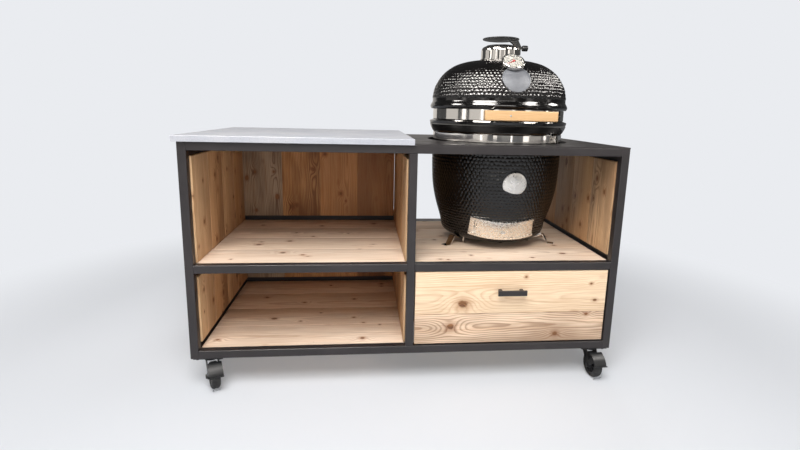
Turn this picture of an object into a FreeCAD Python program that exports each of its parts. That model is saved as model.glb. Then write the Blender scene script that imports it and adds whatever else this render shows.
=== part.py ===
# Kamado grill table: a steel frame with boards, a drawer, castors and a ceramic grill
import FreeCAD, Part
import math
import os

os.makedirs("parts", exist_ok=True)
Vec = FreeCAD.Vector

# All sizes are millimetres and degrees. While it is built, x = 0 is the middle of the frame,
# y = 0 its front face and z = 0 the floor. Azimuths start at the front and turn to the right.

# Frame of welded square tube
frame_width = 1600.0
frame_depth = 750.0
frame_height = 790.0
castor_height = 125.0
tube = 30.0
tube_wall = 2.0
tube_corner = 2.5
shelf_below_top = 435.0
shelf_height = frame_height - shelf_below_top    # top of the middle rails above the frame's lower edge

# Flat bars and angles that carry the boards
bar_thickness = 3.0
bar_width = 50.0
ledge_thickness = 4.0
ledge_width = 25.0
shelf_back_gap = 30.0       # steel angle behind the grill's shelf boards

# Worktop slab and the steel plate round the grill
slab_thickness = 21.0
slab_side_overhang = 13.3
slab_front_overhang = 10.6
slab_back_overhang = 10.0
slab_past_middle = 2.5
slab_arris = 2.5
plate_thickness = 3.0
plate_joint = 0.5
plate_hole_clearance = 10.0

# Boards
wall_board = 20.0
wall_proud = 6.0            # boards stand this far inside the posts
floor_board = 22.0
board_gap = 1.6
board_arris = 1.5
board_end_gap = 1.0
board_top_gap = 22.0
board_bottom_gap = 22.0
deep_board_count = 4
wide_board_count = 4

# Drawer
front_thickness = 20.0
front_setback = 3.0
front_side_gap = 3.5
front_right_gap = 6.0
front_top_gap = 2.0
front_bottom_gap = 6.0
front_seam_share = 0.415
front_seam = 0.8
box_wall = 15.0
box_below_rail = 70.0
box_length = frame_depth - 140.0
box_above_rail = 35.0
box_bottom = 9.0
groove_depth = 6.0
batten_width = 40.0
batten_thickness = 15.0
pull_length = 110.0
pull_height = 20.0
pull_thickness = 8.0
pull_reach = 25.0
pull_post = 12.0
pull_post_inset = 14.0
pull_side_offset = -9.0     # the pull's middle from the front's middle
pull_level = 119.5          # the pull's middle below the middle rails' top

# Drawer runners, three nested channels
runner_height = 45.0
runner_depth = 12.7
runner_sheet = 1.5
runner_length = frame_depth - 150.0
runner_level = 120.0        # above the bottom rails
running_gap = 0.3

# Castors
wheel_diameter = 100.0
wheel_width = 32.0
wheel_crown = 11.0
hub_diameter = 72.0
hub_web = 16.0
axle_diameter = 10.0
axle_clearance = 0.05
castor_trail = 38.0
castor_inset_x = 58.0
castor_inset_y = 52.0
castor_pad = 5.0
castor_plate = 3.0
castor_plate_x = 105.0
castor_plate_y = 85.0
castor_holes_x = 80.0
castor_holes_y = 60.0
castor_bolt = 8.0
fork_sheet = 3.0
fork_side_gap = 3.0
crown_diameter = 56.0
crown_level = 104.0
kingpin_diameter = 12.0
rivet_diameter = 18.0
rivet_height = 3.0
race_wall = 5.0
race_inset = 3.0
fork_front = 18.0
fork_back = 20.0
fork_eye = 12.0
axle_head_diameter = 16.0
axle_head = 4.0
hub_boss_diameter = 26.0
hub_rim = 6.0
hub_recess = 3.0
bolt_head_diameter = 13.0
bolt_head = 5.3
pedal_clearance = 4.0
pedal_sheet = 3.0
pedal_width = 50.0
pedal_from = 16.0           # degrees above the axle, front end of the pedal's arc
pedal_to = 78.0
pedal_lip = 7.0
pedal_eye = 10.0
pedal_arm_half = (8.0, 12.0)    # at the axle, at the pedal
front_left_turn = 26.0
front_right_turn = 5.0
rear_left_turn = 20.0
rear_right_turn = 10.0

# Grill, heights above the frame's lower edge
grill_x = frame_width / 4 - 1.7
grill_y = frame_depth / 2 + 10.0
ceramic = 28.0
parting_level = shelf_height + 505.0
gasket_thickness = 2.8
gasket_width = 22.0
gasket_gap = 0.2
lip_radius = 288.5
mouth_radius = lip_radius - 42.0
belly_radius = lip_radius - 15.5
base_band_radius = lip_radius - 15.0
dome_band_radius = lip_radius - 12.5
band_thickness = 2.5
band_height = 28.0
dome_band_height = 40.0
band_seat_gap = 0.3
base_band_level = shelf_height + 440.0
dome_band_level = shelf_height + 525.0
base_bottom_level = shelf_height + 28.0
dome_top_level = dome_band_level + dome_band_height + 205.0
chimney_bore = 120.0
clamp_azimuth = 40.0
clamp_gap = 12.0
clamp_reach = 15.0
clamp_bolt = 6.0
clamp_head_diameter = 11.0
clamp_head = 4.0
gasket_inset = 1.5
dome_lip_flare = 1.5
dome_flat_radius = 86.0
dome_mouth_rise = 30.0
dome_waist_inset = 8.5
base_mouth_rise = 397.0
base_foot_inset = 83.0
base_heel_inset = 50.0

# Outside of the base: inset from the belly, rise above its bottom, share of a skin that points down
base_profile = [(base_foot_inset, 0.0, 1.0), (75.0, 3.2, 0.9), (67.0, 8.0, 0.7),
                (59.0, 15.0, 0.4), (base_heel_inset, 30.0, 0.0), (42.0, 68.0, 0.0),
                (20.0, 142.0, 0.0), (6.0, 214.0, 0.0), (1.0, 286.0, 0.0), (0.0, 335.0, 0.0),
                (0.8, 375.0, 0.0)]
base_inner_profile = [(42.0, 72.0), (20.0, 142.0), (6.0, 214.0), (1.0, 286.0), (0.0, 335.0)]
base_floor_split = 165.0        # the floor of the base is a body of its own out to this radius

# Outside of the dome, a round rim and the cap above its waist: inset from the lip, rise above the band,
# share of a skin that points up
dome_rim_profile = [(4.0, 2.0), (0.0, 11.0), (2.0, 19.5), (6.0, 27.0), (dome_waist_inset, 33.0)]
dome_profile = [(dome_waist_inset, 33.0, 0.0), (9.0, 46.0, 0.0), (11.0, 62.0, 0.25),
                (20.0, 96.0, 0.5), (49.0, 142.0, 0.7), (92.0, 176.0, 0.8), (141.0, 194.0, 1.0)]
dome_inner_profile = [(25.0, 82.0), (55.0, 124.0), (95.0, 152.0), (141.0, 166.0)]

# Draft door in the base
draft_azimuth = -3.5
draft_half_angle = 31.5
draft_window_half_angle = 12.0
draft_middle = shelf_height + 87.5
draft_half_height = 38.5
draft_reach = belly_radius - 41.5    # the base's skin at the door's middle
draft_tilt = 20.0             # the rails lie in planes that drop towards the front
draft_rail = 9.0
draft_sheet = 2.0
draft_slope = -0.105          # the door's reach grows this much per mm along its tilted axis
draft_depth = 9.0             # the frame's back starts this deep in the base before it is cut
window_low = shelf_height + 72.0
window_high = shelf_height + 107.0
draft_lip = 3.0               # bottom and top of the frame's channels
door_stand_off = 3.5
door_tab_reach = 10.0
door_tab_thickness = 3.0
door_tab_half_angle = 2.0
door_tab_drop = 5.0
window_reach = (100.0, 320.0)

# Fire box, fire ring and grates
fire_box_radius = mouth_radius - 46.5
fire_wall = 24.0
fire_box_height = 235.0
fire_ring_height = 150.0
charcoal_grate_radius = mouth_radius - 106.5
charcoal_grate_level = shelf_height + 125.0
grate_thickness = 8.0
grate_hole = 16.0
grate_rows = [(30.0, 6), (65.0, 12), (100.0, 18)]    # radius of each row and its holes
cooking_grate_radius = mouth_radius - 20.5
grate_rim = 8.0
grate_rod = 6.0
grate_pitch = 16.0
brace_width = 12.0
brace_thickness = 3.0

# Hinge at the back of the grill
hinge_reach = lip_radius + 33.5    # pin axis behind the grill's axis
hinge_level = shelf_height + 513.0
hinge_pin = 10.0
hinge_ear = 5.0
hinge_outer_half = 62.0
hinge_inner_half = 54.0
hinge_eye = 12.0
spring_wire = 4.0
spring_radius = 12.0
spring_pitch = 5.2
spring_turns = 5
spring_half = 27.0          # middle of each spring from the hinge's middle
hinge_pad = 3.0

# Lid fittings
handle_length = 276.0
handle_height = 37.0
handle_thickness = 26.0
handle_reach = lip_radius + 24.5    # back of the handle in front of the grill's axis
handle_level = shelf_height + 543.0
handle_round = 5.0
handle_bracket_half = 95.0
handle_web = 4.0
handle_flange = 24.0
handle_flange_sheet = 3.0
thermometer_radius = 44.5
thermometer_depth = 14.0
thermometer_reach = lip_radius - 71.5
thermometer_side = -8.0
thermometer_level = shelf_height + 745.0
thermometer_tilt = 48.0
thermometer_edge = 3.0
thermometer_rim = 5.0
thermometer_neck = 12.0
needle_length = 31.0
needle_tail = 9.0
needle_half = 1.4
needle_tip_half = 0.5
needle_sheet = 0.8
needle_boss = 4.0
needle_boss_height = 1.6
spindle_radius = 1.0
badge_radius = 54.5
badge_reach = lip_radius - 33.5
badge_side = -3.0
badge_level = shelf_height + 680.0
badge_tilt = 35.0
badge_rim = 4.0
badge_rim_height = 3.0
badge_face_height = 1.5
disc_radius = 47.5
disc_side = 11.0
disc_level = shelf_height + 280.0
disc_dome = 7.0
disc_tilt = -10.0
disc_inset = 3.0

# Chimney
collar_radius = 80.0
collar_wall = 4.0
collar_top_level = dome_top_level + 58.0
collar_shoulder = 20.0
collar_spigot = 20.0
damper_radius = 58.0
damper_dome = 5.0
damper_sheet = 3.0
damper_hole = 14.0
damper_hole_row = 33.0
damper_rim = 6.0
collar_flange = 5.0
collar_flange_height = 4.0
pivot_radius = 5.0
spoke_width = 10.0
cap_radius = 76.0
cap_thickness = 4.0
cap_level = collar_top_level + 28.0
cap_hinge_reach = 84.0
cap_hinge_level = collar_top_level - 3.0
cap_pin = 6.0
cap_edge = 1.5
cap_ear = 3.0
cap_ear_eye = 6.0
cap_ear_half = 13.0          # middle of each ear from the grill's middle
arm_plate_half = 8.5
arm_start = 34.0
tongue_width = 20.0
knob_radius = 12.0
knob_reach = 106.0
knob_round = 4.0

# Feet under the grill
foot_width = 30.0
foot_sheet = 3.0
foot_stud = 12.0
foot_stud_reach = belly_radius - 109.0
foot_azimuths = (-59.0, 64.0, 180.0)

# Derived levels and places
rail_low = castor_height
bottom_rail_top = castor_height + tube
shelf_top = castor_height + shelf_height
frame_top = castor_height + frame_height
half_width = frame_width / 2
half_tube = tube / 2
back_face = frame_depth - tube
slab_left = -half_width - slab_side_overhang
slab_back = frame_depth + slab_back_overhang
pedal_reach = castor_trail + wheel_diameter / 2 + pedal_clearance + pedal_sheet + pedal_lip
front_reach = min(castor_inset_y - pedal_reach, -slab_front_overhang)
origin_shift = Vec(-(slab_left + half_width) / 2, -(front_reach + slab_back) / 2, 0)
grill_axis = Vec(grill_x, grill_y, castor_height)


def export(node, *shapes):
    shape = shapes[0] if len(shapes) == 1 else Part.makeCompound(list(shapes))
    moved = shape.copy()
    moved.translate(origin_shift)
    moved.exportStep("parts/" + node + ".step")
    print(node, "solids", len(moved.Solids), "volume", round(moved.Volume), "valid", moved.isValid())


def box(x0, x1, y0, y1, z0, z1):
    return Part.makeBox(x1 - x0, y1 - y0, z1 - z0, Vec(x0, y0, z0))


def edges_along(shape, direction):
    found = []
    for edge in shape.Edges:
        if abs(edge.tangentAt(edge.FirstParameter).dot(direction)) > 0.999:
            found.append(edge)
    return found


def long_axis(x0, x1, y0, y1, z0, z1):
    spans = [(x1 - x0, Vec(1, 0, 0)), (y1 - y0, Vec(0, 1, 0)), (z1 - z0, Vec(0, 0, 1))]
    return max(spans, key=lambda span: span[0])[1]


def rounded_bar(x0, x1, y0, y1, z0, z1, radius):
    bar = box(x0, x1, y0, y1, z0, z1)
    along = long_axis(x0, x1, y0, y1, z0, z1)
    return bar.makeFillet(radius, edges_along(bar, along))


def square_tube(x0, x1, y0, y1, z0, z1):
    along = long_axis(x0, x1, y0, y1, z0, z1)
    outer = rounded_bar(x0, x1, y0, y1, z0, z1, tube_corner)
    side = Vec(tube_wall, tube_wall, tube_wall) - along * (tube_wall + 1.0)
    inner = box(x0 + side.x, x1 - side.x, y0 + side.y, y1 - side.y, z0 + side.z, z1 - side.z)
    return outer.cut(inner)


def splits(start, end, count):
    step = (end - start) / count
    return [(start + i * step + board_gap / 2, start + (i + 1) * step - board_gap / 2)
            for i in range(count)]


def rod(start, direction, radius, length):
    return Part.makeCylinder(radius, length, start, direction)


def joined(shapes):
    result = shapes[0]
    for shape in shapes[1:]:
        result = result.fuse(shape)
    return result.removeSplitter()


def outline_face(segments):
    # each segment is a list of (radius, level): two points give a line, more give a smooth curve
    edges = []
    for points in segments:
        places = [Vec(radius, 0, level) for radius, level in points]
        if len(places) == 2:
            edges.append(Part.LineSegment(places[0], places[1]).toShape())
        else:
            curve = Part.BSplineCurve()
            curve.interpolate(places)
            edges.append(curve.toShape())
    return Part.Face(Part.Wire(edges))


def on_grill(shape, azimuth=90.0):
    # a shape drawn along +X is turned to its azimuth and set on the grill's axis
    placed = shape.copy()
    placed.rotate(Vec(0, 0, 0), Vec(0, 0, 1), azimuth - 90.0)
    placed.translate(grill_axis)
    return placed


def turned(segments, start=90.0, sweep=360.0):
    solid = outline_face(segments).revolve(Vec(0, 0, 0), Vec(0, 0, 1), sweep)
    return on_grill(solid, start)


def ring(inner, outer, low, high, start=90.0, sweep=360.0):
    corners = [(inner, low), (outer, low), (outer, high), (inner, high), (inner, low)]
    return turned([corners[i:i + 2] for i in range(4)], start, sweep)


def closed_by_lines(segments, corners):
    # the curve segments are closed with straight lines through the corners
    path = [segments[-1][-1]] + corners + [segments[0][0]]
    return segments + [path[i:i + 2] for i in range(len(path) - 1)]


def bent_strip(points, thickness, width):
    # a flat strip bent along points (reach, level); its thickness grows to the left of the path
    count = len(points)
    normals = []
    for i in range(count - 1):
        dx = points[i + 1][0] - points[i][0]
        dz = points[i + 1][1] - points[i][1]
        size = math.hypot(dx, dz)
        normals.append((-dz / size, dx / size))
    shifted = []
    for i in range(count):
        before = normals[max(i - 1, 0)]
        after = normals[min(i, count - 2)]
        share = 1 + before[0] * after[0] + before[1] * after[1]
        nx = (before[0] + after[0]) / share
        nz = (before[1] + after[1]) / share
        shifted.append((points[i][0] + nx * thickness, points[i][1] + nz * thickness))
    corners = [Vec(x, -width / 2, z) for x, z in points + shifted[::-1]]
    wire = Part.makePolygon(corners + [corners[0]])
    return Part.Face(wire).extrude(Vec(0, width, 0))


# Frame
bottom_level = (rail_low, bottom_rail_top)
middle_level = (shelf_top - tube, shelf_top)
top_level = (frame_top - tube, frame_top)
front_row = (0.0, tube)
back_row = (back_face, frame_depth)
left_side = (-half_width, -half_width + tube)
right_side = (half_width - tube, half_width)
middle_post = (-half_tube, half_tube)
left_span = (left_side[1], middle_post[0])
right_span = (middle_post[1], right_side[0])
full_span = (left_side[1], right_side[0])


def build_frame():
    posts = []
    for row in (front_row, back_row):
        for side in (left_side, right_side):
            posts.append(square_tube(*side, *row, rail_low, frame_top))
        posts.append(square_tube(*middle_post, *row, bottom_rail_top, top_level[0]))
    export("frame_posts", *posts)
    levels = [("frame_bottom_rails", bottom_level, [full_span]),
              ("frame_mid_rails", middle_level, [left_span, right_span]),
              ("frame_top_rails", top_level, [full_span])]
    for node, level, spans in levels:
        rails = [square_tube(*span, *row, *level) for row in (front_row, back_row) for span in spans]
        for side in (left_side, middle_post, right_side):
            rails.append(square_tube(*side, front_row[1], back_row[0], *level))
        if level is bottom_level:
            rails += castor_pads()
        export(node, *rails)


def castor_places():
    x = half_width - castor_inset_x
    rear_y = frame_depth - castor_inset_y
    return [("front_left", -x, castor_inset_y, front_left_turn),
            ("front_right", x, castor_inset_y, front_right_turn),
            ("rear_left", -x, rear_y, rear_left_turn),
            ("rear_right", x, rear_y, rear_right_turn)]


def plate_holes(x, y, low, high):
    return [rod(Vec(x + sx * castor_holes_x / 2, y + sy * castor_holes_y / 2, low), Vec(0, 0, 1),
                castor_bolt / 2 + axle_clearance, high - low)
            for sx in (-1, 1) for sy in (-1, 1)]


def castor_pads():
    pads = []
    for _, x, y, _ in castor_places():
        pad = box(x - castor_plate_x / 2, x + castor_plate_x / 2, y - castor_plate_y / 2,
                  y + castor_plate_y / 2, rail_low - castor_pad, rail_low)
        for hole in plate_holes(x, y, rail_low - castor_pad - 1, rail_low + 1):
            pad = pad.cut(hole)
        pads.append(pad)
    return pads


# Boards: inner faces of the walls, with the bars behind them that they are screwed to
left_wall_face = left_side[1] + wall_proud
right_wall_face = right_side[0] - wall_proud
back_wall_face = back_face - wall_proud
divider_face = middle_post[0] - wall_proud
upper_low = shelf_top + board_bottom_gap
upper_high = top_level[0] - board_top_gap
lower_low = bottom_rail_top + board_bottom_gap
lower_high = middle_level[0] - board_top_gap


def wall_along_y(x0, low, high):
    rows = splits(front_row[1], back_row[0], deep_board_count)
    return [rounded_bar(x0, x0 + wall_board, y0, y1, low, high, board_arris) for y0, y1 in rows]


def wall_along_x(x_start, x_end, low, high):
    rows = splits(x_start, x_end, wide_board_count)
    y0 = back_wall_face
    return [rounded_bar(x0, x1, y0, y0 + wall_board, low, high, board_arris) for x0, x1 in rows]


def floor_boards(span, y_end, top):
    rows = splits(front_row[1], y_end, deep_board_count)
    x0 = span[0] + board_end_gap
    x1 = span[1] - board_end_gap
    return [rounded_bar(x0, x1, y0, y1, top - floor_board, top, board_arris) for y0, y1 in rows]


def build_boards():
    shelf_floor = shelf_top + board_end_gap
    bottom_floor = bottom_rail_top + board_end_gap
    left_x = left_wall_face - wall_board
    export("left_wall_boards", *wall_along_y(left_x, shelf_floor, upper_high),
           *wall_along_y(left_x, lower_low, lower_high))
    export("right_wall_boards", *wall_along_y(right_wall_face, upper_low, upper_high),
           *wall_along_y(right_wall_face, lower_low, lower_high))
    export("divider_boards", *wall_along_y(divider_face, shelf_floor, upper_high),
           *wall_along_y(divider_face, bottom_floor, lower_high))
    left_start = left_wall_face + board_end_gap
    left_end = divider_face - board_end_gap
    right_start = middle_post[1] + bar_thickness + board_end_gap
    right_end = right_wall_face - bar_thickness - board_end_gap
    export("back_boards", *wall_along_x(left_start, left_end, upper_low, upper_high),
           *wall_along_x(left_start, left_end, lower_low, lower_high),
           *wall_along_x(right_start, right_end, lower_low, lower_high))
    export("left_shelf_boards", *floor_boards(left_span, back_row[0], shelf_top))
    export("grill_shelf_boards", *floor_boards(right_span, back_row[0] - shelf_back_gap, shelf_top))
    export("bottom_boards", *floor_boards(left_span, back_row[0], bottom_rail_top))


def build_bars():
    bars = []
    for low_rail, high_rail in ((shelf_top, top_level[0]), (bottom_rail_top, middle_level[0])):
        for low, high in ((low_rail, low_rail + bar_width), (high_rail - bar_width, high_rail)):
            outer_left = left_wall_face - wall_board
            outer_right = right_wall_face + wall_board
            behind_divider = divider_face + wall_board
            for x0 in (outer_left - bar_thickness, outer_right, behind_divider):
                bars.append(box(x0, x0 + bar_thickness, front_row[1], back_row[0], low, high))
            y0 = back_wall_face + wall_board
            spans = [left_span] if low_rail == shelf_top else [left_span, right_span]
            for span in spans:
                bars.append(box(*span, y0, y0 + bar_thickness, low, high))
    for span, top in ((left_span, shelf_top), (right_span, shelf_top), (left_span, bottom_rail_top)):
        high = top - floor_board
        low = high - ledge_thickness
        bars.append(box(span[0], span[0] + ledge_width, front_row[1], back_row[0], low, high))
        bars.append(box(span[1] - ledge_width, span[1], front_row[1], back_row[0], low, high))
    angle_front = back_row[0] - shelf_back_gap + board_end_gap
    floor_low = shelf_top - floor_board
    upright = box(*right_span, angle_front, angle_front + bar_thickness, floor_low, shelf_top)
    flat = box(*right_span, angle_front, back_row[0], shelf_top - bar_thickness, shelf_top)
    bars.append(joined([upright, flat]))
    bearer_low = shelf_top - floor_board - ledge_thickness
    bearer_x = (grill_x - bar_width / 2, grill_x + bar_width / 2)
    bars.append(box(*bearer_x, front_row[1], back_row[0], bearer_low, shelf_top - floor_board))
    export("board_bars", *bars)


def build_tops():
    slab = box(slab_left, slab_past_middle, -slab_front_overhang, slab_back, frame_top,
               frame_top + slab_thickness)
    top_edges = [edge for edge in slab.Edges if edge.BoundBox.ZMin > frame_top + slab_thickness - 0.1]
    slab = slab.makeFillet(slab_arris, top_edges)
    export("worktop_slab", slab)
    plate = box(slab_past_middle + plate_joint, half_width, 0, frame_depth, frame_top,
                frame_top + plate_thickness)
    hole = rod(Vec(grill_x, grill_y, frame_top - 1), Vec(0, 0, 1),
               lip_radius + plate_hole_clearance, plate_thickness + 2)
    export("grill_top_plate", plate.cut(hole))


# Drawer
front_x = (middle_post[1] + front_side_gap, right_side[0] - front_right_gap)
front_z = (bottom_rail_top + front_bottom_gap, middle_level[0] - front_top_gap)
front_y = (front_setback, front_setback + front_thickness)
left_bar_face = middle_post[1] + bar_thickness
right_bar_face = right_wall_face - bar_thickness
box_left = left_bar_face + runner_depth
box_right = right_bar_face - runner_depth
box_z = (bottom_rail_top + box_above_rail, middle_level[0] - box_below_rail)
runner_z = bottom_rail_top + runner_level
runner_y = (front_row[1] + 2.0, front_row[1] + 2.0 + runner_length)


def channel(web, height, reach, sheet, start):
    # a channel's section from its web at depth start, opening towards greater depth
    half = height / 2
    parts = [(web[0], web[1], -half, half)]
    parts.append((start, reach, half - sheet, half))
    parts.append((start, reach, -half, -half + sheet))
    return parts


def runner_piece(sections, at_face, towards):
    solids = []
    for d0, d1, v0, v1 in sections:
        x0, x1 = sorted((at_face + towards * d0, at_face + towards * d1))
        solids.append(box(x0, x1, *runner_y, runner_z + v0, runner_z + v1))
    return joined(solids)


def build_drawer():
    seam = front_z[0] + (front_z[1] - front_z[0]) * front_seam_share
    lower = rounded_bar(*front_x, *front_y, front_z[0], seam - front_seam / 2, board_arris)
    upper = rounded_bar(*front_x, *front_y, seam + front_seam / 2, front_z[1], board_arris)
    batten_z = (front_z[0] + batten_width, front_z[1] - batten_width)
    battens = []
    for x0 in (box_left + 3 * box_wall, box_right - 3 * box_wall - batten_width):
        battens.append(box(x0, x0 + batten_width, front_y[1], front_y[1] + batten_thickness, *batten_z))
    export("drawer_front", lower, upper, *battens)

    box_y = (front_y[1], front_y[1] + box_length)
    groove_z = (box_z[0] + box_wall, box_z[0] + box_wall + box_bottom)
    panel = box(box_left + box_wall - groove_depth, box_right - box_wall + groove_depth,
                front_y[1] + batten_thickness + 1, box_y[1] - box_wall + groove_depth, *groove_z)
    left = box(box_left, box_left + box_wall, *box_y, *box_z)
    right = box(box_right - box_wall, box_right, *box_y, *box_z)
    back = box(box_left + box_wall, box_right - box_wall, box_y[1] - box_wall, box_y[1], *box_z)
    export("drawer_box", left.cut(panel), right.cut(panel), back.cut(panel), panel)

    outer = channel((0.0, runner_sheet), runner_height, 10.0, runner_sheet, 0.0)
    middle_height = runner_height - 2 * runner_sheet - 2 * running_gap
    middle = channel((5.0, 5.0 + runner_sheet), middle_height, 9.5, runner_sheet, 2.0)
    inner_height = middle_height - 2 * runner_sheet - 2 * running_gap
    inner_web = (runner_depth - runner_sheet, runner_depth)
    inner = channel(inner_web, inner_height, runner_depth, runner_sheet, 7.0)
    for node, sections in (("runner_outer", outer), ("runner_middle", middle), ("runner_inner", inner)):
        export(node, runner_piece(sections, left_bar_face, 1), runner_piece(sections, right_bar_face, -1))
    bars = [box(middle_post[1], left_bar_face, front_row[1], back_row[0],
                runner_z - bar_width / 2, runner_z + bar_width / 2),
            box(right_bar_face, right_wall_face, front_row[1], back_row[0],
                runner_z - bar_width / 2, runner_z + bar_width / 2)]
    export("runner_bars", *bars)

    pull_x = (front_x[0] + front_x[1]) / 2 + pull_side_offset
    pull_z = shelf_top - pull_level + pull_height / 2
    face_y = front_y[0] - pull_reach
    grip = rounded_bar(pull_x - pull_length / 2, pull_x + pull_length / 2, face_y - pull_thickness,
                       face_y, pull_z - pull_height / 2, pull_z + pull_height / 2, board_arris)
    pull = [grip]
    for side in (-1, 1):
        x = pull_x + side * (pull_length / 2 - pull_post_inset)
        pull.append(box(x - pull_post / 2, x + pull_post / 2, face_y, front_y[0],
                        pull_z - pull_post / 2, pull_z + pull_post / 2))
    export("drawer_pull", joined(pull))


# Castors, drawn with the pivot at the origin, trailing along +X and the axle along Y
wheel_radius = wheel_diameter / 2
leg_inside = wheel_width / 2 + fork_side_gap
leg_outside = leg_inside + fork_sheet
axle_place = Vec(castor_trail, 0, wheel_radius)
hub_half = leg_inside - running_gap
plate_low = rail_low - castor_pad - castor_plate


def across(radius, half_length, centre=axle_place):
    return rod(centre - Vec(0, half_length, 0), Vec(0, 1, 0), radius, 2 * half_length)


def castor_fork():
    crown = rod(Vec(0, 0, crown_level), Vec(0, 0, 1), crown_diameter / 2, fork_sheet)
    race_outer = rod(Vec(0, 0, crown_level), Vec(0, 0, 1), crown_diameter / 2 - race_inset,
                     plate_low - running_gap - crown_level)
    race_inner = rod(Vec(0, 0, crown_level + fork_sheet), Vec(0, 0, 1),
                     crown_diameter / 2 - race_inset - race_wall, plate_low - crown_level)
    bore = rod(Vec(0, 0, 0), Vec(0, 0, 1), kingpin_diameter / 2 + axle_clearance, rail_low)
    head = joined([crown, race_outer.cut(race_inner)]).cut(bore)
    legs = []
    for y0 in (leg_inside, -leg_outside):
        corners = [Vec(-fork_front, y0, crown_level + fork_sheet),
                   Vec(fork_back, y0, crown_level + fork_sheet),
                   Vec(castor_trail + fork_eye, y0, wheel_radius),
                   Vec(castor_trail - fork_eye, y0, wheel_radius)]
        web = Part.Face(Part.makePolygon(corners + [corners[0]])).extrude(Vec(0, fork_sheet, 0))
        boss = rod(Vec(castor_trail, y0, wheel_radius), Vec(0, 1, 0), fork_eye, fork_sheet)
        legs.append(web.fuse(boss))
    axle = across(axle_diameter / 2, leg_outside)
    ends = []
    for side in (-1, 1):
        start = axle_place + Vec(0, side * leg_outside, 0)
        neck = pedal_sheet + 2 * running_gap
        ends.append(rod(start, Vec(0, side, 0), axle_diameter / 2, neck))
        ends.append(rod(start + Vec(0, side * neck, 0), Vec(0, side, 0), axle_head_diameter / 2,
                        axle_head))
    return joined([head] + legs + [axle] + ends)


def castor_wheel():
    bore = across(axle_diameter / 2 + axle_clearance, wheel_radius)
    tyre = across(wheel_radius, wheel_width / 2)
    rims = [edge for edge in tyre.Edges if isinstance(edge.Curve, Part.Circle)]
    tyre = tyre.makeFillet(wheel_crown, rims).cut(across(hub_diameter / 2, wheel_width))
    web = across(hub_diameter / 2, hub_web / 2)
    rim = across(hub_diameter / 2, wheel_width / 2 - hub_recess)
    rim = rim.cut(across(hub_diameter / 2 - hub_rim, wheel_width))
    boss = across(hub_boss_diameter / 2, hub_half)
    hub = joined([web, rim, boss]).cut(bore)
    return [tyre, hub]


def brake_pedal():
    inner = wheel_radius + pedal_clearance
    outer = inner + pedal_sheet
    shell = across(outer, pedal_width / 2).cut(across(inner, pedal_width))
    sector = []
    for angle in (pedal_from, (pedal_from + pedal_to) / 2, pedal_to):
        reach = 2 * outer if angle not in (pedal_from, pedal_to) else 1.6 * outer
        turn = math.radians(angle)
        sector.append(axle_place + Vec(reach * math.cos(turn), -pedal_width, reach * math.sin(turn)))
    corners = [axle_place - Vec(0, pedal_width, 0)] + sector
    wedge = Part.Face(Part.makePolygon(corners + [corners[0]])).extrude(Vec(0, 2 * pedal_width, 0))
    shell = shell.common(wedge)
    turn = math.radians(pedal_from)
    tip = axle_place + Vec(inner * math.cos(turn), -pedal_width / 2, inner * math.sin(turn))
    lip = Part.makeBox(pedal_sheet + pedal_lip, pedal_width, pedal_sheet)
    lip.rotate(Vec(0, 0, 0), Vec(0, 1, 0), -pedal_from)
    lip.translate(tip)
    pieces = [shell, lip]
    arm_inside = leg_outside + running_gap
    arm_turn = math.radians((pedal_from + pedal_to) / 2)
    for y0 in (arm_inside, -arm_inside - pedal_sheet + running_gap):
        thickness = pedal_sheet - running_gap
        eye = rod(Vec(castor_trail, y0, wheel_radius), Vec(0, 1, 0), pedal_eye, thickness)
        thin, wide_end = pedal_arm_half
        spread = [(-thin, 0.0), (thin, 0.0), (wide_end, inner + 1), (-wide_end, inner + 1)]
        ends = []
        for wide, far in spread:
            x = castor_trail + far * math.cos(arm_turn) + wide * math.sin(arm_turn)
            z = wheel_radius + far * math.sin(arm_turn) - wide * math.cos(arm_turn)
            ends.append(Vec(x, y0, z))
        arm = Part.Face(Part.makePolygon(ends + [ends[0]])).extrude(Vec(0, thickness, 0))
        pieces += [eye, arm]
    bore = across(axle_diameter / 2 + axle_clearance, pedal_width)
    return joined(pieces).cut(bore)


def at_castor(shape, x, y, turn):
    placed = shape.copy()
    placed.rotate(Vec(0, 0, 0), Vec(0, 0, 1), turn - 90.0)
    placed.translate(Vec(x, y, 0))
    return placed


def build_castors():
    plates = []
    for name, x, y, turn in castor_places():
        plate = box(x - castor_plate_x / 2, x + castor_plate_x / 2, y - castor_plate_y / 2,
                    y + castor_plate_y / 2, plate_low, plate_low + castor_plate)
        for hole in plate_holes(x, y, plate_low - 1, rail_low):
            plate = plate.cut(hole)
        rivet_top = crown_level - running_gap
        kingpin = rod(Vec(x, y, rivet_top), Vec(0, 0, 1), kingpin_diameter / 2, plate_low - rivet_top)
        rivet = rod(Vec(x, y, rivet_top - rivet_height), Vec(0, 0, 1), rivet_diameter / 2, rivet_height)
        plates.append(joined([plate, kingpin, rivet]))
        for sx in (-1, 1):
            for sy in (-1, 1):
                place = Vec(x + sx * castor_holes_x / 2, y + sy * castor_holes_y / 2, plate_low)
                shank = rod(place, Vec(0, 0, 1), castor_bolt / 2, castor_plate + castor_pad)
                head = rod(place - Vec(0, 0, bolt_head), Vec(0, 0, 1), bolt_head_diameter / 2, bolt_head)
                plates.append(joined([shank, head]))
        export("castor_fork_" + name, at_castor(castor_fork(), x, y, turn))
        tyre, hub = castor_wheel()
        export("castor_wheel_" + name, at_castor(tyre, x, y, turn), at_castor(hub, x, y, turn))
        if name.startswith("front"):
            export("brake_pedal_" + name, at_castor(brake_pedal(), x, y, turn))
    export("castor_plates", *plates)


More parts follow.
